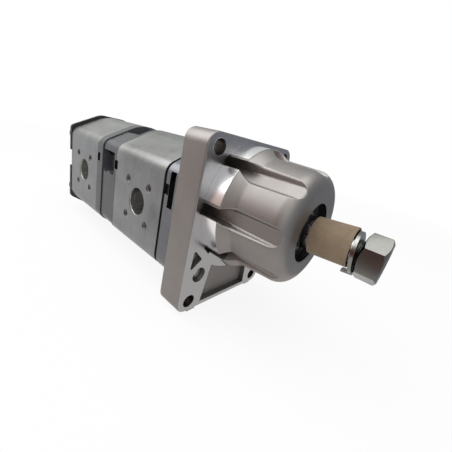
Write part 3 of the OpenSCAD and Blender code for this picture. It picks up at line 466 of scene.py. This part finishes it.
# painted shade: near black for the nose's mouth, its lip and the bore behind it, and for the shaft
# inside
mouthPaintedShade = finish("mouthPaintedShade", grainGroup, {
    "Colour": (0.05, 0.05, 0.052, 1), "Stain": (0.02, 0.02, 0.022, 1), "Stain Share": 0.6,
    "Grain": 1500.0, "Roughness": 0.26, "Spread": 0.2}, 0.3, 0.0001, metallic=0.7)
# painted shade: the bolt holes and the bore are darker than the faces round them
boredPaintedShade = finish("boredPaintedShade", latheGroup, {
    "Colour": (0.24, 0.222, 0.205, 1), "Feed": 2400.0, "Roughness": 0.36, "Spread": 0.16},
    0.2, 0.00006)
extruded = finish("extruded", linesGroup, {
    "Colour": (0.243, 0.245, 0.238, 1), "Stretch": (30.0, 1800.0, 1800.0), "Depth": 0.55,
    "Roughness": 0.37, "Spread": 0.34}, 0.2, 0.00008)
portFace = finish("portFace", linesGroup, {
    "Colour": (0.238, 0.243, 0.254, 1), "Stretch": (2600.0, 600.0, 60.0), "Depth": 0.6,
    "Roughness": 0.34, "Spread": 0.34}, 0.2, 0.00008)
portBore = finish("portBore", linesGroup, {
    "Colour": (0.72, 0.72, 0.7, 1), "Stretch": (300.0, 3200.0, 300.0), "Depth": 0.3,
    "Roughness": 0.3, "Spread": 0.2}, 0.25, 0.00008)
tappedHole = finish("tappedHole", linesGroup, {
    "Colour": (0.3, 0.3, 0.3, 1), "Stretch": (300.0, 3000.0, 300.0), "Depth": 0.3,
    "Roughness": 0.24, "Spread": 0.15},
    1.0, 0.0005, thread={"pitch": 0.001, "alongY": 1.0, "depth": 1.2})
coverBlue = finish("coverBlue", linesGroup, {
    "Colour": (0.17, 0.175, 0.187, 1), "Stretch": (30.0, 1800.0, 1800.0), "Depth": 0.4,
    "Roughness": 0.32, "Spread": 0.3}, 0.2, 0.00008)
linkGrey = finish("linkGrey", linesGroup, {
    "Colour": (0.1, 0.103, 0.109, 1), "Stretch": (30.0, 1800.0, 1800.0), "Depth": 0.45,
    "Roughness": 0.28, "Spread": 0.3}, 0.2, 0.00008)
# painted shade for the deep windows of the connecting flange
windowPaintedShade = finish("windowPaintedShade", grainGroup, {
    "Colour": (0.12, 0.125, 0.14, 1), "Stain": (0.05, 0.05, 0.055, 1), "Stain Share": 0.6,
    "Grain": 1400.0, "Roughness": 0.45, "Spread": 0.2}, 0.4, 0.00014, metallic=0.35)
# painted shade for the faces deep inside the bodies, seen through the ports
cavityPaintedShade = finish("cavityPaintedShade", grainGroup, {
    "Colour": (0.24, 0.24, 0.25, 1), "Stain": (0.1, 0.1, 0.1, 1), "Stain Share": 0.6,
    "Grain": 1400.0, "Roughness": 0.5, "Spread": 0.2}, 0.4, 0.00014, metallic=0.5)
ironDark = finish("ironDark", grainGroup, {
    "Colour": (0.058, 0.058, 0.06, 1), "Stain": (0.025, 0.025, 0.026, 1), "Stain Share": 0.5,
    "Grain": 1300.0, "Roughness": 0.42, "Spread": 0.2}, 0.4, 0.00016, metallic=0.6)
rubberBlack = finish("rubberBlack", grainGroup, {
    "Colour": (0.012, 0.012, 0.013, 1), "Stain": (0.02, 0.02, 0.02, 1), "Stain Share": 0.5,
    "Grain": 2500.0, "Roughness": 0.5, "Spread": 0.2}, 0.2, 0.00008, metallic=0.0)
zincBright = finish("zincBright", grainGroup, {
    "Colour": (0.235, 0.236, 0.222, 1), "Stain": (0.105, 0.1, 0.09, 1), "Stain Share": 0.6,
    "Grain": 1100.0, "Roughness": 0.13, "Spread": 0.1}, 0.03, 0.00005)
zincWasher = finish("zincWasher", latheGroup, {
    "Colour": (0.25, 0.25, 0.23, 1), "Feed": 2500.0, "Roughness": 0.24, "Spread": 0.16},
    0.15, 0.00006)
kraftBoard = finish("kraftBoard", fibreGroup, {
    "Colour": (0.32, 0.235, 0.15, 1), "Dark": (0.13, 0.088, 0.055, 1), "Wrap Pitch": 0.026},
    0.6, 0.00012, metallic=0.0, sheen=0.1)
groundSteel = finish("groundSteel", latheGroup, {
    "Colour": (0.5, 0.5, 0.52, 1), "Feed": 3500.0, "Roughness": 0.2, "Spread": 0.12}, 0.1, 0.00004)
darkSteel = finish("darkSteel", grainGroup, {
    "Colour": (0.16, 0.16, 0.17, 1), "Stain": (0.08, 0.075, 0.07, 1), "Stain Share": 0.5,
    "Grain": 1800.0, "Roughness": 0.32, "Spread": 0.18}, 0.2, 0.0001)
gearSteel = finish("gearSteel", linesGroup, {
    "Colour": (0.44, 0.45, 0.47, 1), "Stretch": (40.0, 2600.0, 2600.0), "Depth": 0.25,
    "Roughness": 0.24, "Spread": 0.16}, 0.15, 0.00006)
drivenSteel = finish("drivenSteel", latheGroup, {
    "Colour": (0.44, 0.45, 0.47, 1), "Feed": 2600.0, "Axis Height": -0.036,
    "Roughness": 0.24, "Spread": 0.16}, 0.15, 0.00006)
raceSteel = finish("raceSteel", latheGroup, {
    "Colour": (0.55, 0.56, 0.58, 1), "Feed": 4000.0, "Roughness": 0.12, "Spread": 0.08},
    0.05, 0.00003)
ballSteel = finish("ballSteel", grainGroup, {
    "Colour": (0.6, 0.61, 0.63, 1), "Stain": (0.5, 0.51, 0.53, 1), "Stain Share": 0.3,
    "Grain": 3000.0, "Roughness": 0.08, "Spread": 0.05}, 0.03, 0.00002)
cageBrass = finish("cageBrass", latheGroup, {
    "Colour": (0.6, 0.42, 0.18, 1), "Feed": 2600.0, "Roughness": 0.28, "Spread": 0.16},
    0.15, 0.00006)
bushBronze = finish("bushBronze", linesGroup, {
    "Colour": (0.5, 0.3, 0.13, 1), "Stretch": (1500.0, 500.0, 500.0), "Depth": 0.3,
    "Roughness": 0.34, "Spread": 0.18}, 0.15, 0.00006)
blockAlloy = finish("blockAlloy", linesGroup, {
    "Colour": (0.46, 0.46, 0.47, 1), "Stretch": (1800.0, 500.0, 500.0), "Depth": 0.25,
    "Roughness": 0.34, "Spread": 0.18}, 0.15, 0.00006)
oxideBlack = finish("oxideBlack", grainGroup, {
    "Colour": (0.035, 0.035, 0.038, 1), "Stain": (0.07, 0.065, 0.06, 1), "Stain Share": 0.5,
    "Grain": 1600.0, "Roughness": 0.36, "Spread": 0.2}, 0.2, 0.0001, metallic=0.8)
# painted shade: the thread is near black, for the shade between washer and nut and inside the nut
threadPaintedShade = finish("threadPaintedShade", latheGroup, {
    "Colour": (0.09, 0.09, 0.092, 1), "Feed": 2600.0, "Roughness": 0.3, "Spread": 0.14},
    0.6, 0.0006, thread={"pitch": 0.0015, "alongY": 0.0, "depth": 1.0})
print("stage: finishes mixed")


# pieces made from the solids, with broken edges and a finish for each face

def cadCopy(node, name):
    mesh = nodes[node].data.copy()
    mesh.name = name
    mesh.materials.clear()
    obj = bpy.data.objects.new(name, mesh)
    scene.collection.objects.link(obj)
    return obj


meshing = {
    "merge": 3e-6,                 # corners nearer to each other than this are one corner
    "flat": 0.4,                   # faces within so many degrees of each other are one face
    "edge": 25,                    # an edge that turns by more degrees than this is broken
    "sharp": 18.5,                 # and one that turns by less, but more than this, stays sharp
    "facing": 0.9,                 # a face looks along an axis when its normal does so this far
    "normalWeight": 60,
}


def openMesh(mesh, piece):
    for mat in piece["finishes"]:
        mesh.materials.append(mat)
    bm = bmesh.new()
    bm.from_mesh(mesh)
    if "turn" in piece:
        turn = Matrix.Rotation(math.radians(piece["turn"]), 3, "X")
        bmesh.ops.rotate(bm, verts=bm.verts, cent=(0, 0, 0), matrix=turn)
    bmesh.ops.remove_doubles(bm, verts=bm.verts, dist=meshing["merge"])
    flat = math.radians(meshing["flat"])
    if piece.get("quads"):
        bmesh.ops.join_triangles(bm, faces=bm.faces[:], angle_face_threshold=flat,
                                 angle_shape_threshold=math.radians(180))
    else:
        bmesh.ops.dissolve_limit(bm, angle_limit=flat, verts=bm.verts, edges=bm.edges)
    return bm


def middleOf(edge):
    return (edge.verts[0].co + edge.verts[1].co) / 2


def weighNormals(obj):
    normals = obj.modifiers.new("flatNormals", "WEIGHTED_NORMAL")
    normals.keep_sharp = True
    normals.weight = meshing["normalWeight"]


def dress(piece):
    obj = cadCopy(piece["node"], piece["name"])
    mesh = obj.data
    bm = openMesh(mesh, piece)
    bm.normal_update()
    if "reshape" in piece:
        for vert in bm.verts:
            vert.co = piece["reshape"](vert.co.copy())
    zone = piece.get("zone")
    for face in bm.faces:
        face.smooth = True
        mat = zone(face.calc_center_median(), face.normal) if zone else piece["finishes"][0]
        face.material_index = piece["finishes"].index(mat)
    layers = bm.edges.layers.float
    layer = layers.get("bevel_weight_edge") or layers.new("bevel_weight_edge")
    for edge in bm.edges:
        if len(edge.link_faces) != 2:
            continue
        angle = edge.calc_face_angle(0.0)
        if angle > math.radians(piece.get("minAngle", meshing["edge"])):
            edge[layer] = 1.0
        elif angle > math.radians(meshing["sharp"]):
            edge.smooth = False
    bm.to_mesh(mesh)
    bm.free()
    bevel = obj.modifiers.new("brokenEdges", "BEVEL")
    bevel.limit_method = "WEIGHT"
    bevel.width = piece["edge"]
    bevel.segments = piece.get("segments", 2)
    bevel.use_clamp_overlap = piece.get("clamp", False)
    bevel.miter_outer = "MITER_ARC"
    weighNormals(obj)
    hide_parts(piece["node"])
    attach(obj, piece["body"])


# the fluted housing: the flange keeps the solid's faces, the turned and fluted part is
# laid out ring by ring so that its lips, fillets and nose stay soft

housing = {
    "node": "front_housing", "name": "fluted_housing", "body": "housing", "slot": "cast_aluminium",
    "finishes": [castWarm, castPocket, machinedFace, spigotTurned, boredPaintedShade, mouthPaintedShade],
    "quads": True,
    "cut": 0.00005,                # the rings begin just above the flange's face
    "near": 0.0002, "step": 0.0001,  # short distances between rings at a corner
    "spigotRadius": 0.04, "spigotLength": 0.0124, "chamfer": 0.0005,
    "barrelStart": (0.019, 0.036), "barrelEnd": (0.0405, 0.0348), "shoulderFillet": 0.007,
    "noseRadius": 0.0095, "length": 0.05,
    "mouthStart": 0.0255,          # rings smaller than this have no flutes
    "mouthRadius": 0.018, "mouthCorner": 0.0007, "lipLength": 0.006,
    "mouthDepth": 0.045,           # deeper than this the bore gets painted shade
    "boreRadius": 0.021, "boreNear": 0.0015, "belowFace": -0.0005,
    "flutes": 8, "floorRadius": 0.032, "floorHalf": 0.0042, "mouthHalf": 0.006, "slotHalf": 0.0036,
    "slotLead": 0.0006,            # the slot widens from just inside the spigot's end
    "softLead": 0.002,             # and its edges grow soft a little beyond the barrel's start
    "brow": 0.03625, "lipRound": (0.00022, 0.0023), "footRound": (0.0003, 0.0018),
    "lipReach": 0.003, "leastWall": 0.00025, "landSteps": 8,
    "scoop": (0.0443, 0.0473),     # the flute narrows between these
    "scoopShare": 0.45,            # to this share of its width
    "runOut": 0.0016,              # and its floor rolls over into the nose this softly
    # where the top flute runs into the flange
    "recessHalf": 0.0042, "recessZ": (0.0402, 0.0422), "recessFilled": 0.0399,
    "outlineEdge": 0.0009, "innerEdge": 0.0004, "breakAngle": 30, "sharpAngle": 33,
    "hubRadius": 0.0422,           # edges nearer the shaft than this belong to the rings
    "outlineY": 0.0445, "outlineZ": (-0.0722, 0.0415),
    "boltY": 0.036, "boltZ": (0.0345, -0.0655), "boltRadius": 0.0048,
    "earReach": (0.006, 0.0095), "earY": 0.04,  # the flange's rounded ends about the bolt holes
    # the low lands under the flange keep sharp edges
    "landSpan": (0.0288, 0.0364), "landTop": -0.0732,
}


def softCorner(a, b, c, radius, steps, reachLimit=1.0):
    # an arc in the corner b of the path a, b, c
    a, b, c = Vector(a), Vector(b), Vector(c)
    u, v = (a - b).normalized(), (c - b).normalized()
    half = math.acos(max(-1.0, min(1.0, u.dot(v)))) / 2
    reach = min(radius / math.tan(half), reachLimit)
    radius = reach * math.tan(half)
    centre = b + (u + v).normalized() * radius / math.sin(half)
    start, end = b + u * reach - centre, b + v * reach - centre
    points = []
    for k in range(steps + 1):
        spoke = start * (steps - k) + end * k
        points.append(centre + spoke.normalized() * radius)
    return points


def mix(low, high, share):
    return low + (high - low) * share


def shareOf(value, low, high):
    return max(0.0, min(1.0, (value - low) / (high - low)))


def smooth(value, low, high):
    share = shareOf(value, low, high)
    return share * share * (3 - 2 * share)


def housingProfile(h):
    # x and radius of each ring, from the flange's face round the nose and back down the bore
    s, length, step, near = h["spigotRadius"], h["spigotLength"], h["step"], h["near"]
    edge = Vector((length, s - h["chamfer"]))
    start = length - h["chamfer"]
    rings = [(h["cut"], s), (length * 0.5, s), (start - step, s), (start, s - step * 0.1)]
    rings += [(length - step, edge.y + step * 0.6), tuple(edge)]
    rings.append(tuple(edge + Vector((step * 1.2, -step * 0.6))))
    rings += [tuple(edge.lerp(Vector(h["barrelStart"]), k)) for k in (0.2, 0.4, 0.6)]
    shoulder = softCorner(edge, h["barrelStart"], h["barrelEnd"], h["shoulderFillet"], 6)
    rings += [tuple(p) for p in shoulder]
    x0, r0 = rings[-1]
    x1, r1 = h["barrelEnd"]
    rings += [(mix(x0, x1, k / 8), mix(r0, r1, k / 8)) for k in range(1, 8)]
    n = h["noseRadius"]
    for degrees in range(0, 91, 3):
        turn = math.radians(degrees)
        rings.append((x1 + n * math.sin(turn), r1 - n + n * math.cos(turn)))
    m, x2, bore = h["mouthRadius"], h["length"], h["boreRadius"]
    rings += [(x2, (rings[-1][1] + m) / 2), (x2, m + step * 8)]
    lip = softCorner((x2, m + near * 10), (x2, m), (x2 - near * 10, m), h["mouthCorner"], 4)
    rings += [tuple(p) for p in lip]
    x3 = x2 - h["lipLength"]
    rings += [(x3 + near, m), (x3, m + near), (x3, bore - step), (x3 - near, bore)]
    return rings + [(h["cut"], bore)]


def fluteHalf(h, x, radius):
    # half a flute and half the land beside it, as (outward, sideways) points
    barrelX = h["barrelStart"][0]
    widen = shareOf(x, h["spigotLength"] - h["slotLead"], barrelX)
    soft = smooth(x, h["spigotLength"] + h["near"], barrelX + h["softLead"])
    mouthHalf = mix(h["slotHalf"], h["mouthHalf"], widen)
    floorHalf = mix(h["slotHalf"], h["floorHalf"], widen)
    lip, foot = mix(*h["lipRound"], soft), mix(*h["footRound"], soft)
    floor = h["floorRadius"]
    end = shareOf(x, *h["scoop"])
    if end > 0:
        floorHalf *= mix(h["scoopShare"], 1.0, math.sqrt(1 - end * end))
        mouthHalf = floorHalf + (h["mouthHalf"] - h["floorHalf"])
    blend = max(h["runOut"] - abs(radius - floor), 0.0) / h["runOut"]
    floor = min(radius, floor) - blend * blend * h["runOut"] / 4
    start = math.hypot(floor, floorHalf)
    outer = max(radius, start + h["leastWall"])
    # the sloping side is followed from the floor's end until it meets the outer radius
    du, dv = h["brow"] - h["floorRadius"], mouthHalf - floorHalf
    a, b, c = du * du + dv * dv, 2 * (floor * du + floorHalf * dv), start * start - outer * outer
    t = (-b + math.sqrt(b * b - 4 * a * c)) / (2 * a)
    footPoint = Vector((floor, floorHalf))
    browPoint = Vector((floor + t * du, floorHalf + t * dv))
    wall = (browPoint - footPoint).length
    onward = browPoint + Vector((-browPoint.y, browPoint.x)).normalized() * 0.01
    footReach, lipReach = min(wall * 0.5, floorHalf * 0.45), min(wall * 0.48, h["lipReach"])
    points = [Vector((floor, 0.0)), Vector((floor, floorHalf * 0.4))]
    points += softCorner((floor, 0.0), footPoint, browPoint, foot, 5, footReach)
    points += softCorner(footPoint, browPoint, onward, lip, 6, lipReach)
    first = math.atan2(points[-1].y, points[-1].x)
    for k in range(1, h["landSteps"] + 1):
        angle = mix(first, math.pi / h["flutes"], k / h["landSteps"])
        points.append(Vector((outer * math.cos(angle), outer * math.sin(angle))))
    return [p * (min(p.length, radius) / p.length) for p in points]


def housingRing(h, x, radius):
    half = fluteHalf(h, x, radius)
    if radius < h["mouthStart"]:
        half = [p.normalized() * radius for p in half]
    side = [Vector((p.x, -p.y)) for p in reversed(half[1:])] + half[:-1]
    ring = []
    for i in range(h["flutes"]):
        turn = 2 * math.pi * i / h["flutes"]
        cos, sin = math.cos(turn), math.sin(turn)
        ring += [(x, p.x * cos - p.y * sin, p.x * sin + p.y * cos) for p in side]
    return ring


def loopRadius(loop):
    return max(math.hypot(v.co.y, v.co.z) for e in loop for v in e.verts)


def rimLoops(bm):
    # the open rims that the cut left, outermost first
    rims = [e for e in bm.edges if e.is_boundary]
    loops = []
    while rims:
        loop, grow = [rims.pop()], True
        verts = set(loop[0].verts)
        while grow:
            grow = [e for e in rims if e.verts[0] in verts or e.verts[1] in verts]
            for e in grow:
                rims.remove(e)
                loop.append(e)
                verts.update(e.verts)
        loops.append(loop)
    return sorted(loops, key=loopRadius, reverse=True)


def boltReach(h, middle):
    # how far a place is from the axis of the nearest bolt hole
    return min(math.hypot(abs(middle.y) - h["boltY"], middle.z - z) for z in h["boltZ"])


def housingZone(h, middle, normal):
    radius = math.hypot(middle.y, middle.z)
    outward = (normal.y * middle.y + normal.z * middle.z) / max(radius, 1e-6)
    if abs(middle.x) < h["near"] and normal.x > meshing["facing"]:
        return machinedFace
    # the bore and the bolt holes get painted shade
    if radius < h["boreRadius"] + h["boreNear"] and outward < -0.5:
        return boredPaintedShade
    if boltReach(h, middle) < h["boltRadius"]:
        return boredPaintedShade
    if middle.x < h["belowFace"] and normal.x > meshing["facing"]:
        return castPocket
    return castWarm


def ringZone(h, here, there, onLand):
    # the finish between two rings; the mouth's lip and the bore deeper in get painted shade
    x, radius = here
    if radius < h["mouthStart"]:
        lip = radius < h["mouthRadius"] + h["near"]
        return mouthPaintedShade if lip or there[0] < h["mouthDepth"] else castWarm
    onSpigot = (x + there[0]) / 2 < h["spigotLength"] - h["chamfer"]
    return spigotTurned if onSpigot and onLand else castWarm


def cutFlange(h, bm):
    everything = bm.verts[:] + bm.edges[:] + bm.faces[:]
    bmesh.ops.bisect_plane(bm, geom=everything, dist=1e-7, plane_co=(h["cut"], 0, 0),
                           plane_no=(1, 0, 0), clear_outer=True)
    # the recess that the top flute leaves in the flange is filled
    for vert in bm.verts:
        if abs(vert.co.y) < h["recessHalf"] and h["recessZ"][0] < vert.co.z < h["recessZ"][1]:
            vert.co.z = h["recessFilled"]


def breakFlange(h, bm):
    # the flange's outline gets a rounder edge than its pockets and holes
    outline, inner = [], []
    for edge in bm.edges:
        if len(edge.link_faces) != 2 or edge.calc_face_angle(0.0) < math.radians(h["breakAngle"]):
            continue
        middle = middleOf(edge)
        if math.hypot(middle.y, middle.z) < h["hubRadius"] or not edge.is_convex:
            continue
        side = abs(middle.y)
        if middle.z < h["landTop"] and h["landSpan"][0] < side < h["landSpan"][1]:
            continue
        hole = boltReach(h, middle)
        outside = side > h["outlineY"] or not h["outlineZ"][0] <= middle.z <= h["outlineZ"][1]
        onEar = hole < h["earReach"][1] and side > h["earY"]
        if hole > h["earReach"][0] and (outside or onEar):
            outline.append(edge)
        else:
            inner.append(edge)
    bevelled = {"profile": 0.5, "affect": "EDGES", "clamp_overlap": False, "miter_outer": "SHARP",
                "loop_slide": False}
    bmesh.ops.bevel(bm, geom=outline, offset=h["outlineEdge"], segments=3, **bevelled)
    inner = [e for e in inner if e.is_valid]
    bmesh.ops.bevel(bm, geom=inner, offset=h["innerEdge"], segments=2, **bevelled)
    bm.normal_update()
    for face in bm.faces:
        mat = housingZone(h, face.calc_center_median(), face.normal)
        face.material_index = h["finishes"].index(mat)


def addRings(h, bm):
    rims = rimLoops(bm)
    rings = housingProfile(h)
    rows = [[bm.verts.new(p) for p in housingRing(h, x, radius)] for x, radius in rings]
    bm.verts.index_update()
    total = len(rows[0])
    perFlute = total // h["flutes"]
    for i in range(len(rows) - 1):
        for j in range(total):
            k = (j + 1) % total
            face = bm.faces.new((rows[i][j], rows[i][k], rows[i + 1][k], rows[i + 1][j]))
            place = j % perFlute
            onLand = place < h["landSteps"] - 1 or place >= perFlute - h["landSteps"]
            mat = ringZone(h, rings[i], rings[i + 1], onLand)
            face.material_index = h["finishes"].index(mat)
    for rim, row, mat in ((rims[0], rows[0], spigotTurned), (rims[1], rows[-1], boredPaintedShade)):
        rowEdges = [bm.edges.get((row[j], row[(j + 1) % total])) for j in range(total)]
        made = bmesh.ops.bridge_loops(bm, edges=rim + rowEdges)
        for face in made["faces"]:
            face.material_index = h["finishes"].index(mat)


def buildHousing(h):
    obj = cadCopy(h["node"], h["name"])
    mesh = obj.data
    bm = openMesh(mesh, h)
    cutFlange(h, bm)
    breakFlange(h, bm)
    addRings(h, bm)
    bmesh.ops.recalc_face_normals(bm, faces=bm.faces)
    for face in bm.faces:
        face.smooth = True
    for edge in bm.edges:
        if len(edge.link_faces) == 2 and edge.calc_face_angle(0.0) > math.radians(h["sharpAngle"]):
            edge.smooth = False
    openEdges = sum(e.is_boundary for e in bm.edges)
    print("stage: housing laid out,", len(bm.faces), "faces,", openEdges, "open edges")
    bm.to_mesh(mesh)
    bm.free()
    weighNormals(obj)
    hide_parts(h["node"])
    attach(obj, h["body"])


buildHousing(housing)

bodies = {
    "nodes": {"front_pump_body": "front_stage_body", "rear_pump_body": "rear_stage_body"},
    "middleZ": -0.018, "portX": (-0.0678, -0.169),  # where the ports' axes lie
    "faceY": 0.0411, "holeY": (0.012, 0.0414), "holeZ": 0.0212,
    # from a port's axis as far as its bore, and as far as its tapped holes
    "portReach": 0.0108, "tapReach": 0.024,
    "innerY": 0.031, "innerZ": 0.042,
}


def bodyZone(middle, normal):
    y, z = abs(middle.y), middle.z - bodies["middleZ"]
    if y > bodies["faceY"] and abs(normal.y) > meshing["facing"]:
        return portFace
    deep = abs(z) < bodies["holeZ"] and bodies["holeY"][0] < y < bodies["holeY"][1]
    if abs(normal.y) < 0.5 and deep:
        reach = min(math.hypot(middle.x - x, z) for x in bodies["portX"])
        if reach < bodies["portReach"]:
            return portBore
        if reach < bodies["tapReach"]:
            return tappedHole
    if abs(normal.x) > 0.95:
        return coverBlue
    # faces inside the gear cavity get painted shade
    return cavityPaintedShade if y < bodies["innerY"] and abs(z) < bodies["innerZ"] else extruded


for node, name in bodies["nodes"].items():
    dress({
        "node": node, "name": name, "body": "housing", "slot": "body_aluminium",
        "edge": 0.00035, "zone": bodyZone,
        "finishes": [extruded, portFace, portBore, tappedHole, coverBlue, cavityPaintedShade],
    })

frontCover = {
    "node": "front_cover", "name": "bearing_cover", "body": "housing", "slot": "cover_aluminium",
    "edge": 0.0004, "clamp": True, "finishes": [coverBlue],
}
dress(frontCover)

link = {
    "node": "connecting_flange", "name": "window_flange", "body": "housing",
    "slot": "cover_aluminium", "edge": 0.0003, "clamp": True,
    "windowX": (-0.1292, -0.1063), "wallX": (-0.129, -0.1065), "wallNear": 0.0003,
    "sideY": (0.024, 0.0402), "sideZ": (-0.012, 0.0125),  # the windows in the sides
    "topY": 0.0245, "topZ": (0.02, 0.0272),               # and the one on top
}


def linkZone(middle, normal):
    # walls and floors of the windows get painted shade
    wall = min(abs(middle.x - x) for x in link["wallX"])
    if abs(normal.x) > meshing["facing"] and wall < link["wallNear"]:
        return windowPaintedShade
    y, z = abs(middle.y), middle.z
    if link["windowX"][0] < middle.x < link["windowX"][1]:
        if link["sideY"][0] < y < link["sideY"][1] and link["sideZ"][0] < z < link["sideZ"][1]:
            return windowPaintedShade
        aboveFloor = z > link["topZ"][0] and (z < link["topZ"][1] or abs(normal.z) < 0.3)
        if y < link["topY"] and aboveFloor:
            return windowPaintedShade
    return linkGrey


link.update(finishes=[linkGrey, windowPaintedShade], zone=linkZone)
dress(link)

rearCover = {
    "node": "rear_cover", "name": "end_cover", "body": "housing", "slot": "dark_iron",
    "edge": 0.0006, "segments": 3, "clamp": True, "quads": True, "finishes": [ironDark],
}
dress(rearCover)

gasket = {
    "node": "front_gasket", "name": "black_gasket", "body": "housing", "slot": "black_rubber",
    "edge": 0.0003, "finishes": [rubberBlack],
}
dress(gasket)

nut = {
    "node": "shaft_nut", "name": "hex_nut", "body": "drive", "slot": "zinc_steel",
    "edge": 0.0003, "segments": 3, "minAngle": 30, "clamp": True, "quads": True,
    "turn": 27.4,                  # how far the nut was screwed on when the photograph was taken
    "threadRadius": 0.0072,
}


def nutZone(middle, normal):
    # the thread inside the nut gets painted shade
    return threadPaintedShade if math.hypot(middle.y, middle.z) < nut["threadRadius"] else zincBright


nut.update(finishes=[zincBright, threadPaintedShade], zone=nutZone)
dress(nut)

washer = {
    "node": "tab_washer", "name": "lock_washer", "body": "drive", "slot": "zinc_steel",
    "edge": 0.0003, "segments": 3, "finishes": [zincWasher], "clamp": True,
    "rim": (0.009, 0.013, 0.0112),   # from this radius on the rim is drawn in, from here to here
}


def drawInRim(co):
    radius = math.hypot(co.y, co.z)
    start, old, new = washer["rim"]
    if radius > start:
        wanted = mix(start, new, shareOf(radius, start, old)) + max(radius - old, 0.0)
        co.y *= wanted / radius
        co.z *= wanted / radius
    return co


washer["reshape"] = drawInRim
dress(washer)

sleeve = {
    "node": "shipping_sleeve", "name": "board_sleeve", "body": "drive", "slot": "cardboard",
    "edge": 0.0003, "finishes": [kraftBoard],
}
dress(sleeve)

shaft = {
    "node": "input_shaft", "name": "taper_shaft", "body": "drive", "slot": "ground_steel",
    "edge": 0.0003, "threadX": 0.0728, "collarX": (0.034, 0.056),
}


def shaftZone(middle, normal):
    # the thread gets painted shade
    if middle.x > shaft["threadX"] and abs(normal.x) < 0.5:
        return threadPaintedShade
    # the stretch of shaft inside the mouth gets painted shade
    return mouthPaintedShade if shaft["collarX"][0] < middle.x < shaft["collarX"][1] else groundSteel


shaft.update(finishes=[groundSteel, threadPaintedShade, mouthPaintedShade], zone=shaftZone)
dress(shaft)

ties = {
    "node": "tie_bolts", "name": "socket_screws", "body": "housing", "slot": "black_oxide_steel",
    "edge": 0.0003, "segments": 3, "clamp": True, "quads": True,
    "finishes": [oxideBlack, groundSteel], "tipX": -0.02,
}


def tieZone(middle, normal):
    return groundSteel if middle.x > ties["tipX"] else oxideBlack


ties.update(zone=tieZone)
dress(ties)
print("stage: pieces dressed")


# the other solids keep their shape and get a finish

plain = {
    "front_stage_front_block": blockAlloy, "front_stage_rear_block": blockAlloy,
    "rear_stage_front_block": blockAlloy, "rear_stage_rear_block": blockAlloy,
    "front_stage_bushes": bushBronze, "rear_stage_bushes": bushBronze,
    "front_stage_field_seals": rubberBlack, "rear_stage_field_seals": rubberBlack,
    "body_face_seals": rubberBlack, "shaft_seal": rubberBlack, "connecting_shaft_seal": rubberBlack,
    "shaft_key": darkSteel, "shaft_rings": darkSteel, "front_coupling": darkSteel,
    "front_drive_gear": gearSteel, "rear_coupling": darkSteel, "rear_drive_gear": gearSteel,
    "front_driven_gear": drivenSteel, "rear_driven_gear": drivenSteel,
    "outer_bearing_outer_race": raceSteel, "outer_bearing_inner_race": raceSteel,
    "outer_bearing_balls": ballSteel, "outer_bearing_cage": cageBrass,
    "inner_bearing_outer_race": raceSteel, "inner_bearing_inner_race": raceSteel,
    "inner_bearing_balls": ballSteel, "inner_bearing_cage": cageBrass,
    "bearing_shields": rubberBlack, "bearing_spacer": groundSteel, "bearing_snap_ring": darkSteel,
    "tie_washers": zincWasher, "dowel_pins": groundSteel,
}
for node, mat in plain.items():
    obj = nodes[node]
    if not obj.material_slots:
        obj.data.materials.append(mat)
    for place in obj.material_slots:
        place.material = mat
print("stage: inner parts finished")
